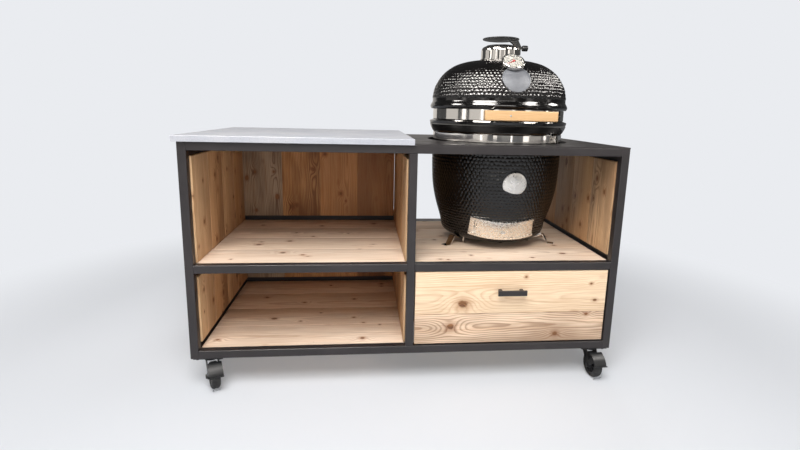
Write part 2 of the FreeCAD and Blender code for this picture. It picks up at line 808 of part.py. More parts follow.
# Grill shells, outlines as (radius, level above the frame's lower edge)
base_rim_level = parting_level - gasket_gap - gasket_thickness
dome_rim_level = parting_level + gasket_gap + gasket_thickness
base_groove = base_band_radius - band_thickness - band_seat_gap
dome_groove = dome_band_radius - band_thickness - band_seat_gap
base_band_top = base_band_level + band_height
dome_band_top = dome_band_level + dome_band_height


def base_outline(grow=0.0):
    rows = [(belly_radius + grow - inset, base_bottom_level + rise - grow * sink)
            for inset, rise, sink in base_profile]
    return rows + [(base_groove + grow, base_band_level - 1)]


def base_inner_outline():
    floor = base_bottom_level + ceramic
    rows = [(belly_radius - ceramic - inset, base_bottom_level + rise)
            for inset, rise in base_inner_profile]
    foot = [(belly_radius - base_foot_inset - ceramic / 2, floor),
            (belly_radius - base_heel_inset - ceramic, floor + ceramic * 3 / 7)]
    return foot + rows + [(mouth_radius, base_bottom_level + base_mouth_rise)]


def base_lip(grow=0.0):
    groove = base_groove + grow
    lip = lip_radius + grow
    top = base_band_top + 1
    return [[(groove, base_band_level - 1), (groove, top)],
            [(groove, top), (lip - 11, top + 8), (lip - 4, base_rim_level - 11), (lip, base_rim_level)]]


def base_solid(grow):
    curves = [base_outline(grow)] + base_lip(grow)
    return turned(closed_by_lines(curves, [(0, base_rim_level), (0, base_bottom_level - grow)]))


def base_hollow():
    inner = base_inner_outline()
    top = base_rim_level + 1
    return turned(closed_by_lines([inner], [(mouth_radius, top), (0, top), (0, inner[0][1])]))


def dome_outline(grow=0.0):
    groove = dome_groove + grow
    lip = lip_radius + grow
    rim = [(lip - inset, dome_band_top + rise) for inset, rise in dome_rim_profile]
    shoulder = [(lip - inset, dome_band_top + rise + grow * lift) for inset, rise, lift in dome_profile]
    flare = lip + dome_lip_flare
    return [[(lip, dome_rim_level), (flare, dome_band_level - 8)],
            [(flare, dome_band_level - 8), (groove, dome_band_level - 1)],
            [(groove, dome_band_level - 1), (groove, dome_band_top + 1)],
            [(groove, dome_band_top + 1), rim[0]], rim,
            shoulder + [(dome_flat_radius, dome_top_level - 1 + grow)]]


def dome_solid(grow):
    top = dome_top_level - 1 + grow
    return turned(closed_by_lines(dome_outline(grow), [(0, top), (0, dome_rim_level)]))


def dome_hollow():
    top = dome_top_level - ceramic
    straight_top = (mouth_radius, dome_band_top + dome_mouth_rise)
    rows = [(lip_radius - ceramic - inset, dome_band_top + rise) for inset, rise in dome_inner_profile]
    curve = [(mouth_radius, dome_rim_level - 1), straight_top]
    inner = [straight_top] + rows + [(chimney_bore / 2, top)]
    return turned(closed_by_lines([curve, inner], [(0, top), (0, dome_rim_level - 1)]))


def facing(centre, tilt, shape):
    # a shape drawn round +Z is leaned to face the front, tilt degrees above level
    placed = shape.copy()
    placed.rotate(Vec(0, 0, 0), Vec(1, 0, 0), 90.0 - tilt)
    placed.translate(centre)
    return placed


def front_place(reach, level, side=0.0):
    return Vec(grill_x + side, grill_y - reach, castor_height + level)


def window_cut():
    return ring(*window_reach, window_low, window_high, draft_azimuth - draft_window_half_angle,
                2 * draft_window_half_angle)


thermometer_centre = front_place(thermometer_reach, thermometer_level, thermometer_side)
thermometer_stem = 4.0


def build_shells():
    # one casting, drawn as three bodies that touch: its floor, the course with the window, the wall above
    shell = base_solid(0.0).cut(base_hollow()).cut(window_cut())
    floor_space = rod(grill_axis + Vec(0, 0, base_bottom_level - 1), Vec(0, 0, 1), base_floor_split,
                      ceramic + 2)
    upper_space = rod(grill_axis + Vec(0, 0, window_high), Vec(0, 0, 1), lip_radius + 1,
                      parting_level - window_high)
    course = shell.cut(floor_space).cut(upper_space)
    export("base_shell", shell.common(floor_space), course, shell.common(upper_space))
    dome = dome_solid(0.0).cut(dome_hollow())
    dome = dome.cut(rod(grill_axis + Vec(0, 0, dome_top_level - 2 * ceramic), Vec(0, 0, 1),
                        chimney_bore / 2, 4 * ceramic))
    stem_hole = rod(Vec(0, 0, -5 * ceramic), Vec(0, 0, 1), thermometer_stem + running_gap, 10 * ceramic)
    dome = dome.cut(facing(thermometer_centre, thermometer_tilt, stem_hole))
    export("dome_shell", dome)
    gasket_outer = lip_radius - gasket_inset
    gasket_inner = gasket_outer - gasket_width
    export("base_gasket", ring(gasket_inner, gasket_outer, base_rim_level, parting_level - gasket_gap))
    export("dome_gasket", ring(gasket_inner, gasket_outer, parting_level + gasket_gap, dome_rim_level))


def clamp_band(radius, low, high):
    # an open band whose two ends turn out into ears with a bolt between them
    half = math.degrees(clamp_gap / 2 / radius)
    strap = ring(radius - band_thickness, radius, low, high, clamp_azimuth + half, 360.0 - 2 * half)
    ears = []
    ear_high = castor_height + high
    for side in (-1, 1):
        y0 = clamp_gap / 2 if side > 0 else -clamp_gap / 2 - band_thickness
        ear = box(radius - band_thickness, radius + clamp_reach, y0, y0 + band_thickness,
                  castor_height + low, ear_high)
        ears.append(ear)
    middle = castor_height + (low + high) / 2
    reach = radius + clamp_reach * 0.6
    length = clamp_gap + 2 * band_thickness
    hole = rod(Vec(reach, -length, middle), Vec(0, 1, 0), clamp_bolt / 2 + axle_clearance, 2 * length)
    bolt = rod(Vec(reach, -length / 2 - clamp_head, middle), Vec(0, 1, 0), clamp_bolt / 2,
               length + 2 * clamp_head)
    heads = [rod(Vec(reach, y0, middle), Vec(0, 1, 0), clamp_head_diameter / 2, clamp_head)
             for y0 in (length / 2, -length / 2 - clamp_head)]

    def seat(shape):
        placed = shape.copy()
        placed.translate(Vec(0, 0, -castor_height))
        return on_grill(placed, clamp_azimuth)

    strap = joined([strap] + [seat(ear.cut(hole)) for ear in ears])
    return strap, seat(joined([bolt] + heads))


def hinge_plates(half, radius, low, high, pin_hole):
    # two ears at the back of a band, joined by a curved pad
    pad_half = math.degrees(half / radius)
    pad = ring(radius, radius + hinge_pad, low, high, 180 - pad_half, 2 * pad_half)
    eye_place = Vec(0, grill_y + hinge_reach, castor_height + hinge_level)
    pieces = [pad]
    start_y = grill_y + math.sqrt((radius + hinge_pad / 3) ** 2 - half ** 2)
    low_corner = Vec(0, start_y, castor_height + low)
    high_corner = Vec(0, start_y, castor_height + high)
    along = (eye_place - (low_corner + high_corner) * 0.5).normalize()
    rise = Vec(0, -along.z, along.y) * (hinge_eye - 2)
    for side in (-1, 1):
        shift = Vec(grill_x + side * half - hinge_ear / 2, 0, 0)
        corners = [low_corner, high_corner, eye_place + rise, eye_place - rise, low_corner]
        web = Part.Face(Part.makePolygon([corner + shift for corner in corners]))
        eye = rod(eye_place + shift, Vec(1, 0, 0), hinge_eye, hinge_ear)
        pieces += [web.extrude(Vec(hinge_ear, 0, 0)), eye]
    plates = joined(pieces)
    if pin_hole > 0:
        reach = Vec(half + 2 * hinge_ear, 0, 0)
        middle_place = Vec(grill_x, eye_place.y, eye_place.z)
        plates = plates.cut(rod(middle_place - reach, Vec(1, 0, 0), pin_hole, 2 * reach.x))
    return plates


def arc_from(start, tangent, end):
    chord = end - start
    across_part = chord - tangent * chord.dot(tangent)
    radius = chord.Length ** 2 / (2 * across_part.Length)
    centre = start + across_part.normalize() * radius
    middle = (start + end) * 0.5 - centre
    return Part.Arc(start, centre + middle.normalize() * radius, end).toShape()


def biarc(start, start_tangent, end, end_tangent):
    span = end - start
    both = start_tangent + end_tangent
    spread = 2 * (1 - start_tangent.dot(end_tangent))
    reach = (-span.dot(both) + math.sqrt(span.dot(both) ** 2 + spread * span.dot(span))) / spread
    joint = (start + start_tangent * reach + end - end_tangent * reach) * 0.5
    last = arc_from(end, end_tangent * -1, joint)
    return [arc_from(start, start_tangent, joint), Part.Arc(joint, middle_of(last), end).toShape()]


def middle_of(edge):
    return edge.valueAt((edge.FirstParameter + edge.LastParameter) / 2)


def leg_turn(target_y, target_z, way):
    # where on the coil a straight leg that ends at the target is tangent to it
    far = math.hypot(target_y, target_z)
    return math.atan2(target_z, -target_y) + way * math.acos(spring_radius / far)


def leg_target(band_radius, level, side_place):
    # a leg rests on the back of a hinge pad
    pad_reach = math.sqrt((band_radius + hinge_pad) ** 2 - side_place ** 2)
    return (pad_reach + spring_wire / 2 + running_gap - hinge_reach, level - hinge_level)


def torsion_spring(centre, mirror):
    # the coil runs along X round the hinge pin, and its two straight legs are tangent to it
    # the legs leave the coil about three quarters of a turn past each end of its whole turns
    coil_half = spring_pitch * (spring_turns + 1.5) / 2
    low_target = leg_target(base_band_radius, base_band_top - 8, spring_half - coil_half)
    high_target = leg_target(dome_band_radius, dome_band_level + 12, spring_half + coil_half)
    first_turn = leg_turn(*low_target, 1)
    last_turn = leg_turn(*high_target, -1) + 2 * math.pi * spring_turns
    sweep = last_turn - first_turn

    def place(angle):
        along = mirror * spring_pitch * ((angle - first_turn) - sweep / 2) / (2 * math.pi)
        return centre + Vec(along, -spring_radius * math.cos(angle), spring_radius * math.sin(angle))

    def heading(angle):
        slope = Vec(mirror * spring_pitch / (2 * math.pi), spring_radius * math.sin(angle),
                    spring_radius * math.cos(angle))
        return slope.normalize()

    def leg(target):
        return math.sqrt(target[0] ** 2 + target[1] ** 2 - spring_radius ** 2)

    first = place(first_turn)
    last = place(last_turn)
    start = first - heading(first_turn) * leg(low_target)
    quarters = math.ceil(sweep / (math.pi / 2))
    step = sweep / quarters
    edges = [Part.LineSegment(start, first).toShape()]
    for i in range(quarters):
        a0 = first_turn + i * step
        edges += biarc(place(a0), heading(a0), place(a0 + step), heading(a0 + step))
    edges.append(Part.LineSegment(last, last + heading(last_turn) * leg(high_target)).toShape())
    path = Part.Wire(edges)
    profile = Part.Wire(Part.Circle(start, heading(first_turn), spring_wire / 2).toShape())
    coil = path.makePipeShell([profile], True, False)
    per_turn = 24
    steps = int(sweep / (2 * math.pi) * per_turn)
    points = [place(first_turn + sweep * i / steps) for i in range(steps + 1)]
    apart = [(points[i] - points[j]).Length
             for i in range(steps + 1) for j in range(i + per_turn // 2, steps + 1)]
    section = math.pi * spring_wire ** 2 / 4
    print("spring: least gap to itself", round(min(apart) - spring_wire, 3),
          "volume over section times length", round(coil.Volume / (section * path.Length), 4))
    return coil


def build_bands_and_hinge():
    base_strap, base_bolt = clamp_band(base_band_radius, base_band_level, base_band_top)
    dome_strap, dome_bolt = clamp_band(dome_band_radius, dome_band_level, dome_band_top)
    export("base_band", base_strap, base_bolt)
    export("dome_band", dome_strap, dome_bolt)
    pin_radius = hinge_pin / 2
    pin_place = Vec(grill_x, grill_y + hinge_reach, castor_height + hinge_level)
    pin_half = hinge_outer_half + hinge_ear + 4
    pin = rod(pin_place - Vec(pin_half, 0, 0), Vec(1, 0, 0), pin_radius, 2 * pin_half)
    sleeve_half = hinge_inner_half - hinge_ear / 2 - running_gap
    sleeve = rod(pin_place - Vec(sleeve_half, 0, 0), Vec(1, 0, 0),
                 spring_radius - spring_wire / 2 - running_gap, 2 * sleeve_half)
    bracket = hinge_plates(hinge_outer_half, base_band_radius, base_band_level + 2, base_band_top - 2, 0)
    export("hinge_bracket", joined([bracket, pin, sleeve]))
    arms = hinge_plates(hinge_inner_half, dome_band_radius, dome_band_level + 4, dome_band_top - 4,
                        pin_radius + axle_clearance)
    export("hinge_arms", arms)
    springs = [torsion_spring(pin_place + Vec(side * spring_half, 0, 0), side) for side in (-1, 1)]
    export("hinge_springs", *springs)


def build_fire_parts():
    floor = base_bottom_level + ceramic
    ledge = charcoal_grate_level - floor
    outer = fire_box_radius
    grate_seat = charcoal_grate_radius - 12
    side = outer - fire_wall
    foot = outer - 38
    top = floor + fire_box_height
    box_lines = [(grate_seat - 20, floor), (foot, floor), (outer, floor + ledge), (outer, top), (side, top),
                 (charcoal_grate_radius + 4, charcoal_grate_level),
                 (grate_seat, charcoal_grate_level), (grate_seat - 20, floor)]
    body = turned([box_lines[i:i + 2] for i in range(len(box_lines) - 1)])
    export("fire_box", body.cut(window_cut()))
    ring_top = top + fire_ring_height
    rim = cooking_grate_radius + grate_rim
    ring_lines = [(side, top), (outer, top), (rim, ring_top), (rim - fire_wall, ring_top), (side, top)]
    export("fire_ring", turned([ring_lines[i:i + 2] for i in range(len(ring_lines) - 1)]))

    disc = rod(grill_axis + Vec(0, 0, charcoal_grate_level), Vec(0, 0, 1), charcoal_grate_radius,
               grate_thickness)
    for row, count in grate_rows:
        for i in range(count):
            turn = 2 * math.pi * i / count
            place = grill_axis + Vec(row * math.cos(turn), row * math.sin(turn), charcoal_grate_level - 1)
            disc = disc.cut(rod(place, Vec(0, 0, 1), grate_hole / 2, grate_thickness + 2))
    export("charcoal_grate", disc)

    rim_ring = ring(cooking_grate_radius - grate_rim, cooking_grate_radius, ring_top,
                    ring_top + grate_thickness)
    inside = rod(grill_axis + Vec(0, 0, ring_top), Vec(0, 0, 1), cooking_grate_radius - grate_rim,
                 grate_thickness)
    rods = []
    count = int((cooking_grate_radius - 2 * grate_rim) / grate_pitch)
    for i in range(-count, count + 1):
        start = grill_axis + Vec(i * grate_pitch, -cooking_grate_radius, ring_top + grate_thickness / 2)
        rods.append(rod(start, Vec(0, 1, 0), grate_rod / 2, 2 * cooking_grate_radius).common(inside))
    brace_half = cooking_grate_radius - 3 * grate_rim
    rods_low = castor_height + ring_top + (grate_thickness - grate_rod) / 2
    brace = box(grill_x - brace_half, grill_x + brace_half, grill_y - brace_width / 2,
                grill_y + brace_width / 2, rods_low - brace_thickness, rods_low)
    export("cooking_grate_rim", rim_ring)
    export("cooking_grate", brace, *rods)


def build_draft_door():
    # the door and its rails are drawn upright round the grill's axis, then leaned to drop at the front
    shell = base_solid(running_gap)
    tilt = math.radians(draft_tilt)
    pivot_level = draft_middle + draft_reach * math.tan(tilt)
    low_level = pivot_level - draft_half_height
    high_level = pivot_level + draft_half_height

    def slanted(offset0, offset1, low, high, start, sweep):
        def reach(offset, level):
            return draft_reach / math.cos(tilt) + offset + draft_slope * (level - pivot_level)

        corners = [(reach(offset0, low), low), (reach(offset1, low), low),
                   (reach(offset1, high), high), (reach(offset0, high), high)]
        corners.append(corners[0])
        placed = turned([corners[i:i + 2] for i in range(4)], start, sweep)
        placed.rotate(grill_axis + Vec(0, 0, pivot_level), Vec(1, 0, 0), draft_tilt)
        return placed

    start = draft_azimuth - draft_half_angle
    sweep = 2 * draft_half_angle
    door_back = door_stand_off
    door_front = door_back + draft_sheet
    lip_front = door_front + running_gap + draft_sheet
    back = slanted(-draft_depth, door_back - running_gap, low_level, high_level, start, sweep)
    back = back.cut(shell).cut(window_cut())
    rails = []
    for low, high, lip_low, lip_high in (
            (low_level, low_level + draft_lip, low_level, low_level + draft_rail),
            (high_level - draft_lip, high_level, high_level - draft_rail, high_level)):
        rails.append(slanted(door_back - running_gap, lip_front, low, high, start, sweep))
        rails.append(slanted(door_front + running_gap, lip_front, lip_low, lip_high, start, sweep))
    export("draft_door_frame", joined([back] + rails))
    door = slanted(door_back, door_front, low_level + draft_lip + running_gap,
                   high_level - draft_lip - running_gap,
                   start + 1, sweep - 2)
    tab_high = pivot_level - door_tab_drop
    tab = slanted(door_front, door_front + door_tab_reach, tab_high - door_tab_thickness, tab_high,
                  draft_azimuth - door_tab_half_angle, 2 * door_tab_half_angle)
    export("draft_door", joined([door, tab]))


def build_lid_fittings():
    shell = dome_solid(running_gap)
    back_y = grill_y - handle_reach
    level = castor_height + handle_level
    handle = box(grill_x - handle_length / 2, grill_x + handle_length / 2, back_y - handle_thickness,
                 back_y, level - handle_height / 2, level + handle_height / 2)
    export("lid_handle", handle.makeFillet(handle_round, handle.Edges))
    brackets = []
    band = rod(grill_axis + Vec(0, 0, dome_band_level - 20), Vec(0, 0, 1), dome_band_radius,
               dome_band_height + 40)
    half_high = dome_band_height / 2 - 6
    for side in (-1, 1):
        x = grill_x + side * handle_bracket_half
        web = box(x - handle_web / 2, x + handle_web / 2, back_y, grill_y - dome_band_radius + 40,
                  level - half_high, level + half_high)
        flange = box(x - handle_flange / 2, x + handle_flange / 2, back_y,
                     back_y + handle_flange_sheet, level - half_high, level + half_high)
        brackets.append(joined([web, flange]).cut(band))
    export("handle_brackets", *brackets)

    case = rod(Vec(0, 0, -thermometer_depth / 2), Vec(0, 0, 1), thermometer_radius, thermometer_depth)
    case = case.makeFillet(thermometer_edge,
                           [edge for edge in case.Edges if isinstance(edge.Curve, Part.Circle)])
    dial = rod(Vec(0, 0, thermometer_depth / 2 - thermometer_rim), Vec(0, 0, 1),
               thermometer_radius - thermometer_rim, 2 * thermometer_rim)
    case = case.cut(dial)
    neck = rod(Vec(0, 0, -3 * thermometer_depth), Vec(0, 0, 1), thermometer_neck, 2.6 * thermometer_depth)
    neck_placed = facing(thermometer_centre, thermometer_tilt, neck).cut(shell)
    stem = rod(Vec(0, 0, -6 * thermometer_depth), Vec(0, 0, 1), thermometer_stem, 5.7 * thermometer_depth)
    spindle = rod(Vec(0, 0, thermometer_depth / 2 - 6), Vec(0, 0, 1), spindle_radius, 4.0)
    parts = [facing(thermometer_centre, thermometer_tilt, part) for part in (case, stem, spindle)]
    export("thermometer_case", joined(parts + [neck_placed]))
    tail = Vec(-needle_half, -needle_tail, 0)
    hand = Part.makePolygon([tail, Vec(needle_half, -needle_tail, 0),
                             Vec(needle_tip_half, needle_length, 0),
                             Vec(-needle_tip_half, needle_length, 0), tail])
    hand = Part.Face(hand).extrude(Vec(0, 0, needle_sheet))
    boss = rod(Vec(0, 0, 0), Vec(0, 0, 1), needle_boss, needle_boss_height)
    hand = joined([hand, boss]).cut(rod(Vec(0, 0, -1), Vec(0, 0, 1), spindle_radius + axle_clearance, 5.0))
    hand.rotate(Vec(0, 0, 0), Vec(0, 0, 1), 120.0)
    hand.translate(Vec(0, 0, thermometer_depth / 2 - 4.4))
    export("thermometer_needle", facing(thermometer_centre, thermometer_tilt, hand))

    badge_centre = front_place(badge_reach, badge_level, badge_side)
    around = facing(badge_centre, badge_tilt,
                    rod(Vec(0, 0, -40), Vec(0, 0, 1), badge_radius, 80))
    within = facing(badge_centre, badge_tilt,
                    rod(Vec(0, 0, -40), Vec(0, 0, 1), badge_radius - badge_rim, 80))
    rim = dome_solid(badge_rim_height).cut(shell).common(around).cut(within)
    face = dome_solid(badge_face_height).cut(shell).common(within)
    export("badge_plate", rim, face)

    disc = rod(Vec(0, 0, -20), Vec(0, 0, 1), disc_radius, 25)
    ball_radius = (disc_radius ** 2 + disc_dome ** 2) / (2 * disc_dome)
    ball = Part.makeSphere(ball_radius, Vec(0, 0, disc_dome - ball_radius))
    disc = disc.common(ball.fuse(rod(Vec(0, 0, -40), Vec(0, 0, 1), disc_radius + 1, 40)))
    disc_place = front_place(belly_radius - disc_inset, disc_level, disc_side)
    export("base_disc", facing(disc_place, disc_tilt, disc).cut(base_solid(running_gap)))


def build_chimney():
    low = dome_top_level
    top = collar_top_level
    outer = collar_radius
    shoulder = collar_shoulder
    inner = damper_radius - damper_rim
    flange = outer + collar_flange
    step = low + collar_flange_height
    bend = shoulder * (1 - math.sqrt(0.5))
    spigot = chimney_bore / 2 - running_gap
    outside = [[(flange, low), (flange, step)], [(flange, step), (outer, step)],
               [(outer, step), (outer, top - shoulder)],
               [(outer, top - shoulder), (outer - bend, top - bend), (outer - shoulder, top)],
               [(outer - shoulder, top), (inner, top)], [(inner, top), (inner, top - collar_wall)],
               [(inner, top - collar_wall), (outer - shoulder - 1, top - collar_wall)],
               [(outer - shoulder - 1, top - collar_wall), (outer - collar_wall, top - shoulder - 2)],
               [(outer - collar_wall, top - shoulder - 2), (outer - collar_wall, step)],
               [(outer - collar_wall, step), (spigot - collar_wall, step)],
               [(spigot - collar_wall, step), (spigot - collar_wall, low - collar_spigot)],
               [(spigot - collar_wall, low - collar_spigot), (spigot, low - collar_spigot)],
               [(spigot, low - collar_spigot), (spigot, low)], [(spigot, low), (flange, low)]]
    collar = turned(outside)
    pivot = rod(grill_axis + Vec(0, 0, top - collar_wall), Vec(0, 0, 1), pivot_radius,
                collar_wall + 4)
    spokes = []
    for turn in (0.0, 60.0, 120.0):
        spoke = Part.makeBox(2 * inner + 4, spoke_width, collar_wall,
                             Vec(-inner - 2, -spoke_width / 2, top - collar_wall))
        spokes.append(on_grill(spoke, 90.0 + turn))
    post_low = castor_height + top - shoulder - 12
    hinge_x = grill_x + cap_hinge_reach
    hinge_z = castor_height + cap_hinge_level
    ears = []
    tube_space = rod(grill_axis + Vec(0, 0, low), Vec(0, 0, 1), outer - 1, top - low)
    for side in (-1, 1):
        y0 = grill_y + side * cap_ear_half - cap_ear / 2
        ear = box(grill_x + outer - 14, hinge_x, y0, y0 + cap_ear, post_low, hinge_z)
        ear = ear.fuse(rod(Vec(hinge_x, y0, hinge_z), Vec(0, 1, 0), cap_ear_eye, cap_ear))
        ear = ear.cut(tube_space)
        ears.append(ear)
    pin = rod(Vec(hinge_x, grill_y - cap_ear_half - 1, hinge_z), Vec(0, 1, 0), cap_pin / 2,
              2 * (cap_ear_half + 1))
    export("chimney_collar", joined([collar, pivot] + spokes + ears + [pin]))

    damper_low = top + running_gap
    dome_radius = (damper_radius ** 2 + damper_dome ** 2) / (2 * damper_dome)
    middle = Vec(grill_x, grill_y, castor_height + damper_low + damper_dome + damper_sheet - dome_radius)
    cap = Part.makeSphere(dome_radius, middle)
    disc = rod(grill_axis + Vec(0, 0, damper_low), Vec(0, 0, 1), damper_radius,
               damper_dome + damper_sheet + 2).common(cap)
    disc = disc.cut(rod(grill_axis + Vec(0, 0, top - 1), Vec(0, 0, 1),
                        pivot_radius + running_gap / 3, 5.5))
    for i in range(6):
        turn = 2 * math.pi * (i + 0.5) / 6
        place = Vec(damper_hole_row * math.cos(turn), damper_hole_row * math.sin(turn), top - 1)
        place = grill_axis + place
        disc = disc.cut(rod(place, Vec(0, 0, 1), damper_hole / 2, 20))
    export("damper_disc", disc)

    cap_low = castor_height + cap_level
    plate = rod(Vec(grill_x, grill_y, cap_low), Vec(0, 0, 1), cap_radius, cap_thickness)
    rims = [edge for edge in plate.Edges if isinstance(edge.Curve, Part.Circle)]
    export("vent_cap", plate.makeFillet(cap_edge, rims))
    corners = [Vec(grill_x + arm_start, 0, cap_low), Vec(grill_x + cap_radius - 3, 0, cap_low),
               Vec(hinge_x + 5, 0, hinge_z + 2), Vec(hinge_x - 5, 0, hinge_z - 3)]
    arms = []
    for side in (-1, 1):
        y0 = grill_y + side * arm_plate_half - cap_ear / 2
        shift = Vec(0, y0, 0)
        face = Part.Face(Part.makePolygon([corner + shift for corner in corners + [corners[0]]]))
        web = face.extrude(Vec(0, cap_ear, 0))
        web = web.fuse(rod(Vec(hinge_x, y0, hinge_z), Vec(0, 1, 0), cap_ear_eye, cap_ear))
        arms.append(web)
    tongue = box(hinge_x + 4.2, grill_x + knob_reach - knob_radius, grill_y - tongue_width / 2,
                 grill_y + tongue_width / 2, hinge_z - cap_ear / 2, hinge_z + cap_ear / 2)
    arm = joined(arms + [tongue])
    arm = arm.cut(rod(Vec(hinge_x, grill_y - 20, hinge_z), Vec(0, 1, 0), cap_pin / 2 + axle_clearance, 40))
    export("vent_arm", arm)
    knob = rod(Vec(grill_x + knob_reach - knob_radius, grill_y, hinge_z), Vec(1, 0, 0), knob_radius,
               2 * knob_radius)
    rims = [edge for edge in knob.Edges if isinstance(edge.Curve, Part.Circle)]
    export("vent_knob", knob.makeFillet(knob_round, rims))


def build_feet():
    floor = shelf_height
    inner_top = base_bottom_level
    path = [(belly_radius + reach, level) for reach, level in (
        (4.0, floor), (-22.0, floor), (-44.0, inner_top + 8), (-50.0, inner_top + 8),
        (-70.0, inner_top - foot_sheet), (-130.0, inner_top - foot_sheet))]
    strip = bent_strip(path[::-1], foot_sheet, foot_width)
    stud_high = inner_top - foot_sheet - floor
    stud = rod(Vec(foot_stud_reach, 0, floor), Vec(0, 0, 1), foot_stud / 2, stud_high)
    feet = []
    for azimuth in foot_azimuths:
        foot = joined([strip, stud])
        feet.append(on_grill(foot, azimuth))
    export("grill_feet", *feet)


build_frame()
build_boards()
build_bars()
build_tops()
build_drawer()
build_castors()
build_shells()
build_bands_and_hinge()
build_fire_parts()
build_draft_door()
build_lid_fittings()
build_chimney()
build_feet()
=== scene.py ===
import bpy
import bmesh
import functools
import math
import random
import numpy as np
from mathutils import Matrix, Vector


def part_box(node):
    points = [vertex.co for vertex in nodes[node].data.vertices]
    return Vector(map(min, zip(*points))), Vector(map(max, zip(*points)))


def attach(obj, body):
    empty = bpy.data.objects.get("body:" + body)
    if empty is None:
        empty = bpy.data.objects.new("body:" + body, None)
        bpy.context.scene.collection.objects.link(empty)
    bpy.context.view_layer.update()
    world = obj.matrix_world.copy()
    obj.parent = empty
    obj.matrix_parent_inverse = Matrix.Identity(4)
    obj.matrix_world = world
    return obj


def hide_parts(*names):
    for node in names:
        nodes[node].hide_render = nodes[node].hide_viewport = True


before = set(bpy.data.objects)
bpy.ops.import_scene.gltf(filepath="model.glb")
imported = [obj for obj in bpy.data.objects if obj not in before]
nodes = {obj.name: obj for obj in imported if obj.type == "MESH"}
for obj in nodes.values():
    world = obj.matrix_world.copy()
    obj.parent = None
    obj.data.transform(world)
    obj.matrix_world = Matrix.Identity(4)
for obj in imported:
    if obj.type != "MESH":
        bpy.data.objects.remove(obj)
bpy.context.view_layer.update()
mm = 0.001


# Helpers for materials

def toLinear(hexColour):
    channels = [int(hexColour[i:i + 2], 16) / 255 for i in (1, 3, 5)]
    return [c / 12.92 if c <= 0.04045 else ((c + 0.055) / 1.055) ** 2.4 for c in channels] + [1.0]


def addNode(tree, kind, settings=None, links=None):
    # settings name a property or a socket; links name a socket and the output that feeds it
    node = tree.nodes.new(kind)
    for key, value in (settings or {}).items():
        if key == "stops":
            ramp = node.color_ramp
            while len(ramp.elements) < len(value):
                ramp.elements.new(0.5)
            for element, (place, colour) in zip(ramp.elements, value):
                element.position = place
                element.color = toLinear(colour) if isinstance(colour, str) else [colour] * 3 + [1.0]
        elif isinstance(key, str) and hasattr(node, key):
            setattr(node, key, value)
        else:
            node.inputs[key].default_value = toLinear(value) if isinstance(value, str) else value
    for key, source in (links or {}).items():
        tree.links.new(source, node.inputs[key])
    return node


def fedNode(kind, settings, values):
    # a node whose numbered sockets each take an output, a hex colour, a number or a vector
    fixed, links = dict(settings), {}
    for key, value in values.items():
        group = links if hasattr(value, "is_linked") else fixed
        group[key] = value
    return addNode(next(iter(links.values())).id_data, kind, fixed, links).outputs


def mathOf(operation, a, b=0.0, clamp=False):
    return fedNode("ShaderNodeMath", {"operation": operation, "use_clamp": clamp}, {0: a, 1: b})[0]


plus, minus, times, ratio, larger = (functools.partial(mathOf, operation) for operation in
                                     ("ADD", "SUBTRACT", "MULTIPLY", "DIVIDE", "MAXIMUM"))


def squares(a, b):
    return plus(times(a, a), times(b, b))


def vectorOf(operation, a, b):
    return fedNode("ShaderNodeVectorMath", {"operation": operation}, {0: a, 1: b})[0]


def mixOf(factor, a, b, blend="MIX"):
    return fedNode("ShaderNodeMix", {"data_type": "RGBA", "blend_type": blend}, {0: factor, 6: a, 7: b})[2]


def tinted(colour, tint):
    return mixOf(1.0, colour, tint, "MULTIPLY")


def apart(vector):
    return addNode(vector.id_data, "ShaderNodeSeparateXYZ", {}, {"Vector": vector}).outputs


def rampOf(value, stops):
    return addNode(value.id_data, "ShaderNodeValToRGB", {"stops": stops}, {"Fac": value}).outputs["Color"]


def noiseAt(coords, sizeMm, detail=2.0, stretch=(1, 1, 1), **extra):
    # noise whose grains are about sizeMm across, drawn out along an axis where stretch is small
    settings = {"Scale": 1000.0 / sizeMm, "Detail": detail, **extra}
    scaled = vectorOf("MULTIPLY", coords, stretch)
    return addNode(coords.id_data, "ShaderNodeTexNoise", settings, {"Vector": scaled}).outputs["Fac"]


def into(shader, **sources):
    for socket, source in sources.items():
        shader.id_data.links.new(source, shader.inputs[socket.replace("_", " ")])


def bumpInto(shader, height, depthMm, strength):
    bump = addNode(shader.id_data, "ShaderNodeBump", {"Strength": strength, "Distance": depthMm * mm},
                   {"Height": height})
    into(shader, Normal=bump.outputs["Normal"])


def newMaterial(name, look):
    # a principled material whose uniform values stand on its own sockets
    material = bpy.data.materials.new(name)
    material.use_nodes = True
    shader = material.node_tree.nodes["Principled BSDF"]
    for socket, value in look.items():
        shader.inputs[socket].default_value = toLinear(value) if isinstance(value, str) else value
    return material, shader, addNode(material.node_tree, "ShaderNodeTexCoord").outputs["Object"]


def makeFinish(name, look, colour=None, roughness=None, bump=None):
    # each pattern starts with its noise: size in mm, detail and stretch. Colour and roughness go on with
    # the stops of a ramp, and bump with its depth in mm and its strength.
    material, shader, coords = newMaterial(name, look)
    if colour:
        into(shader, Base_Color=rampOf(noiseAt(coords, *colour[0]), colour[1]))
    if roughness:
        into(shader, Roughness=rampOf(noiseAt(coords, *roughness[0]), roughness[1]))
    if bump:
        bumpInto(shader, noiseAt(coords, *bump[0]), *bump[1:])
    return material


# Materials

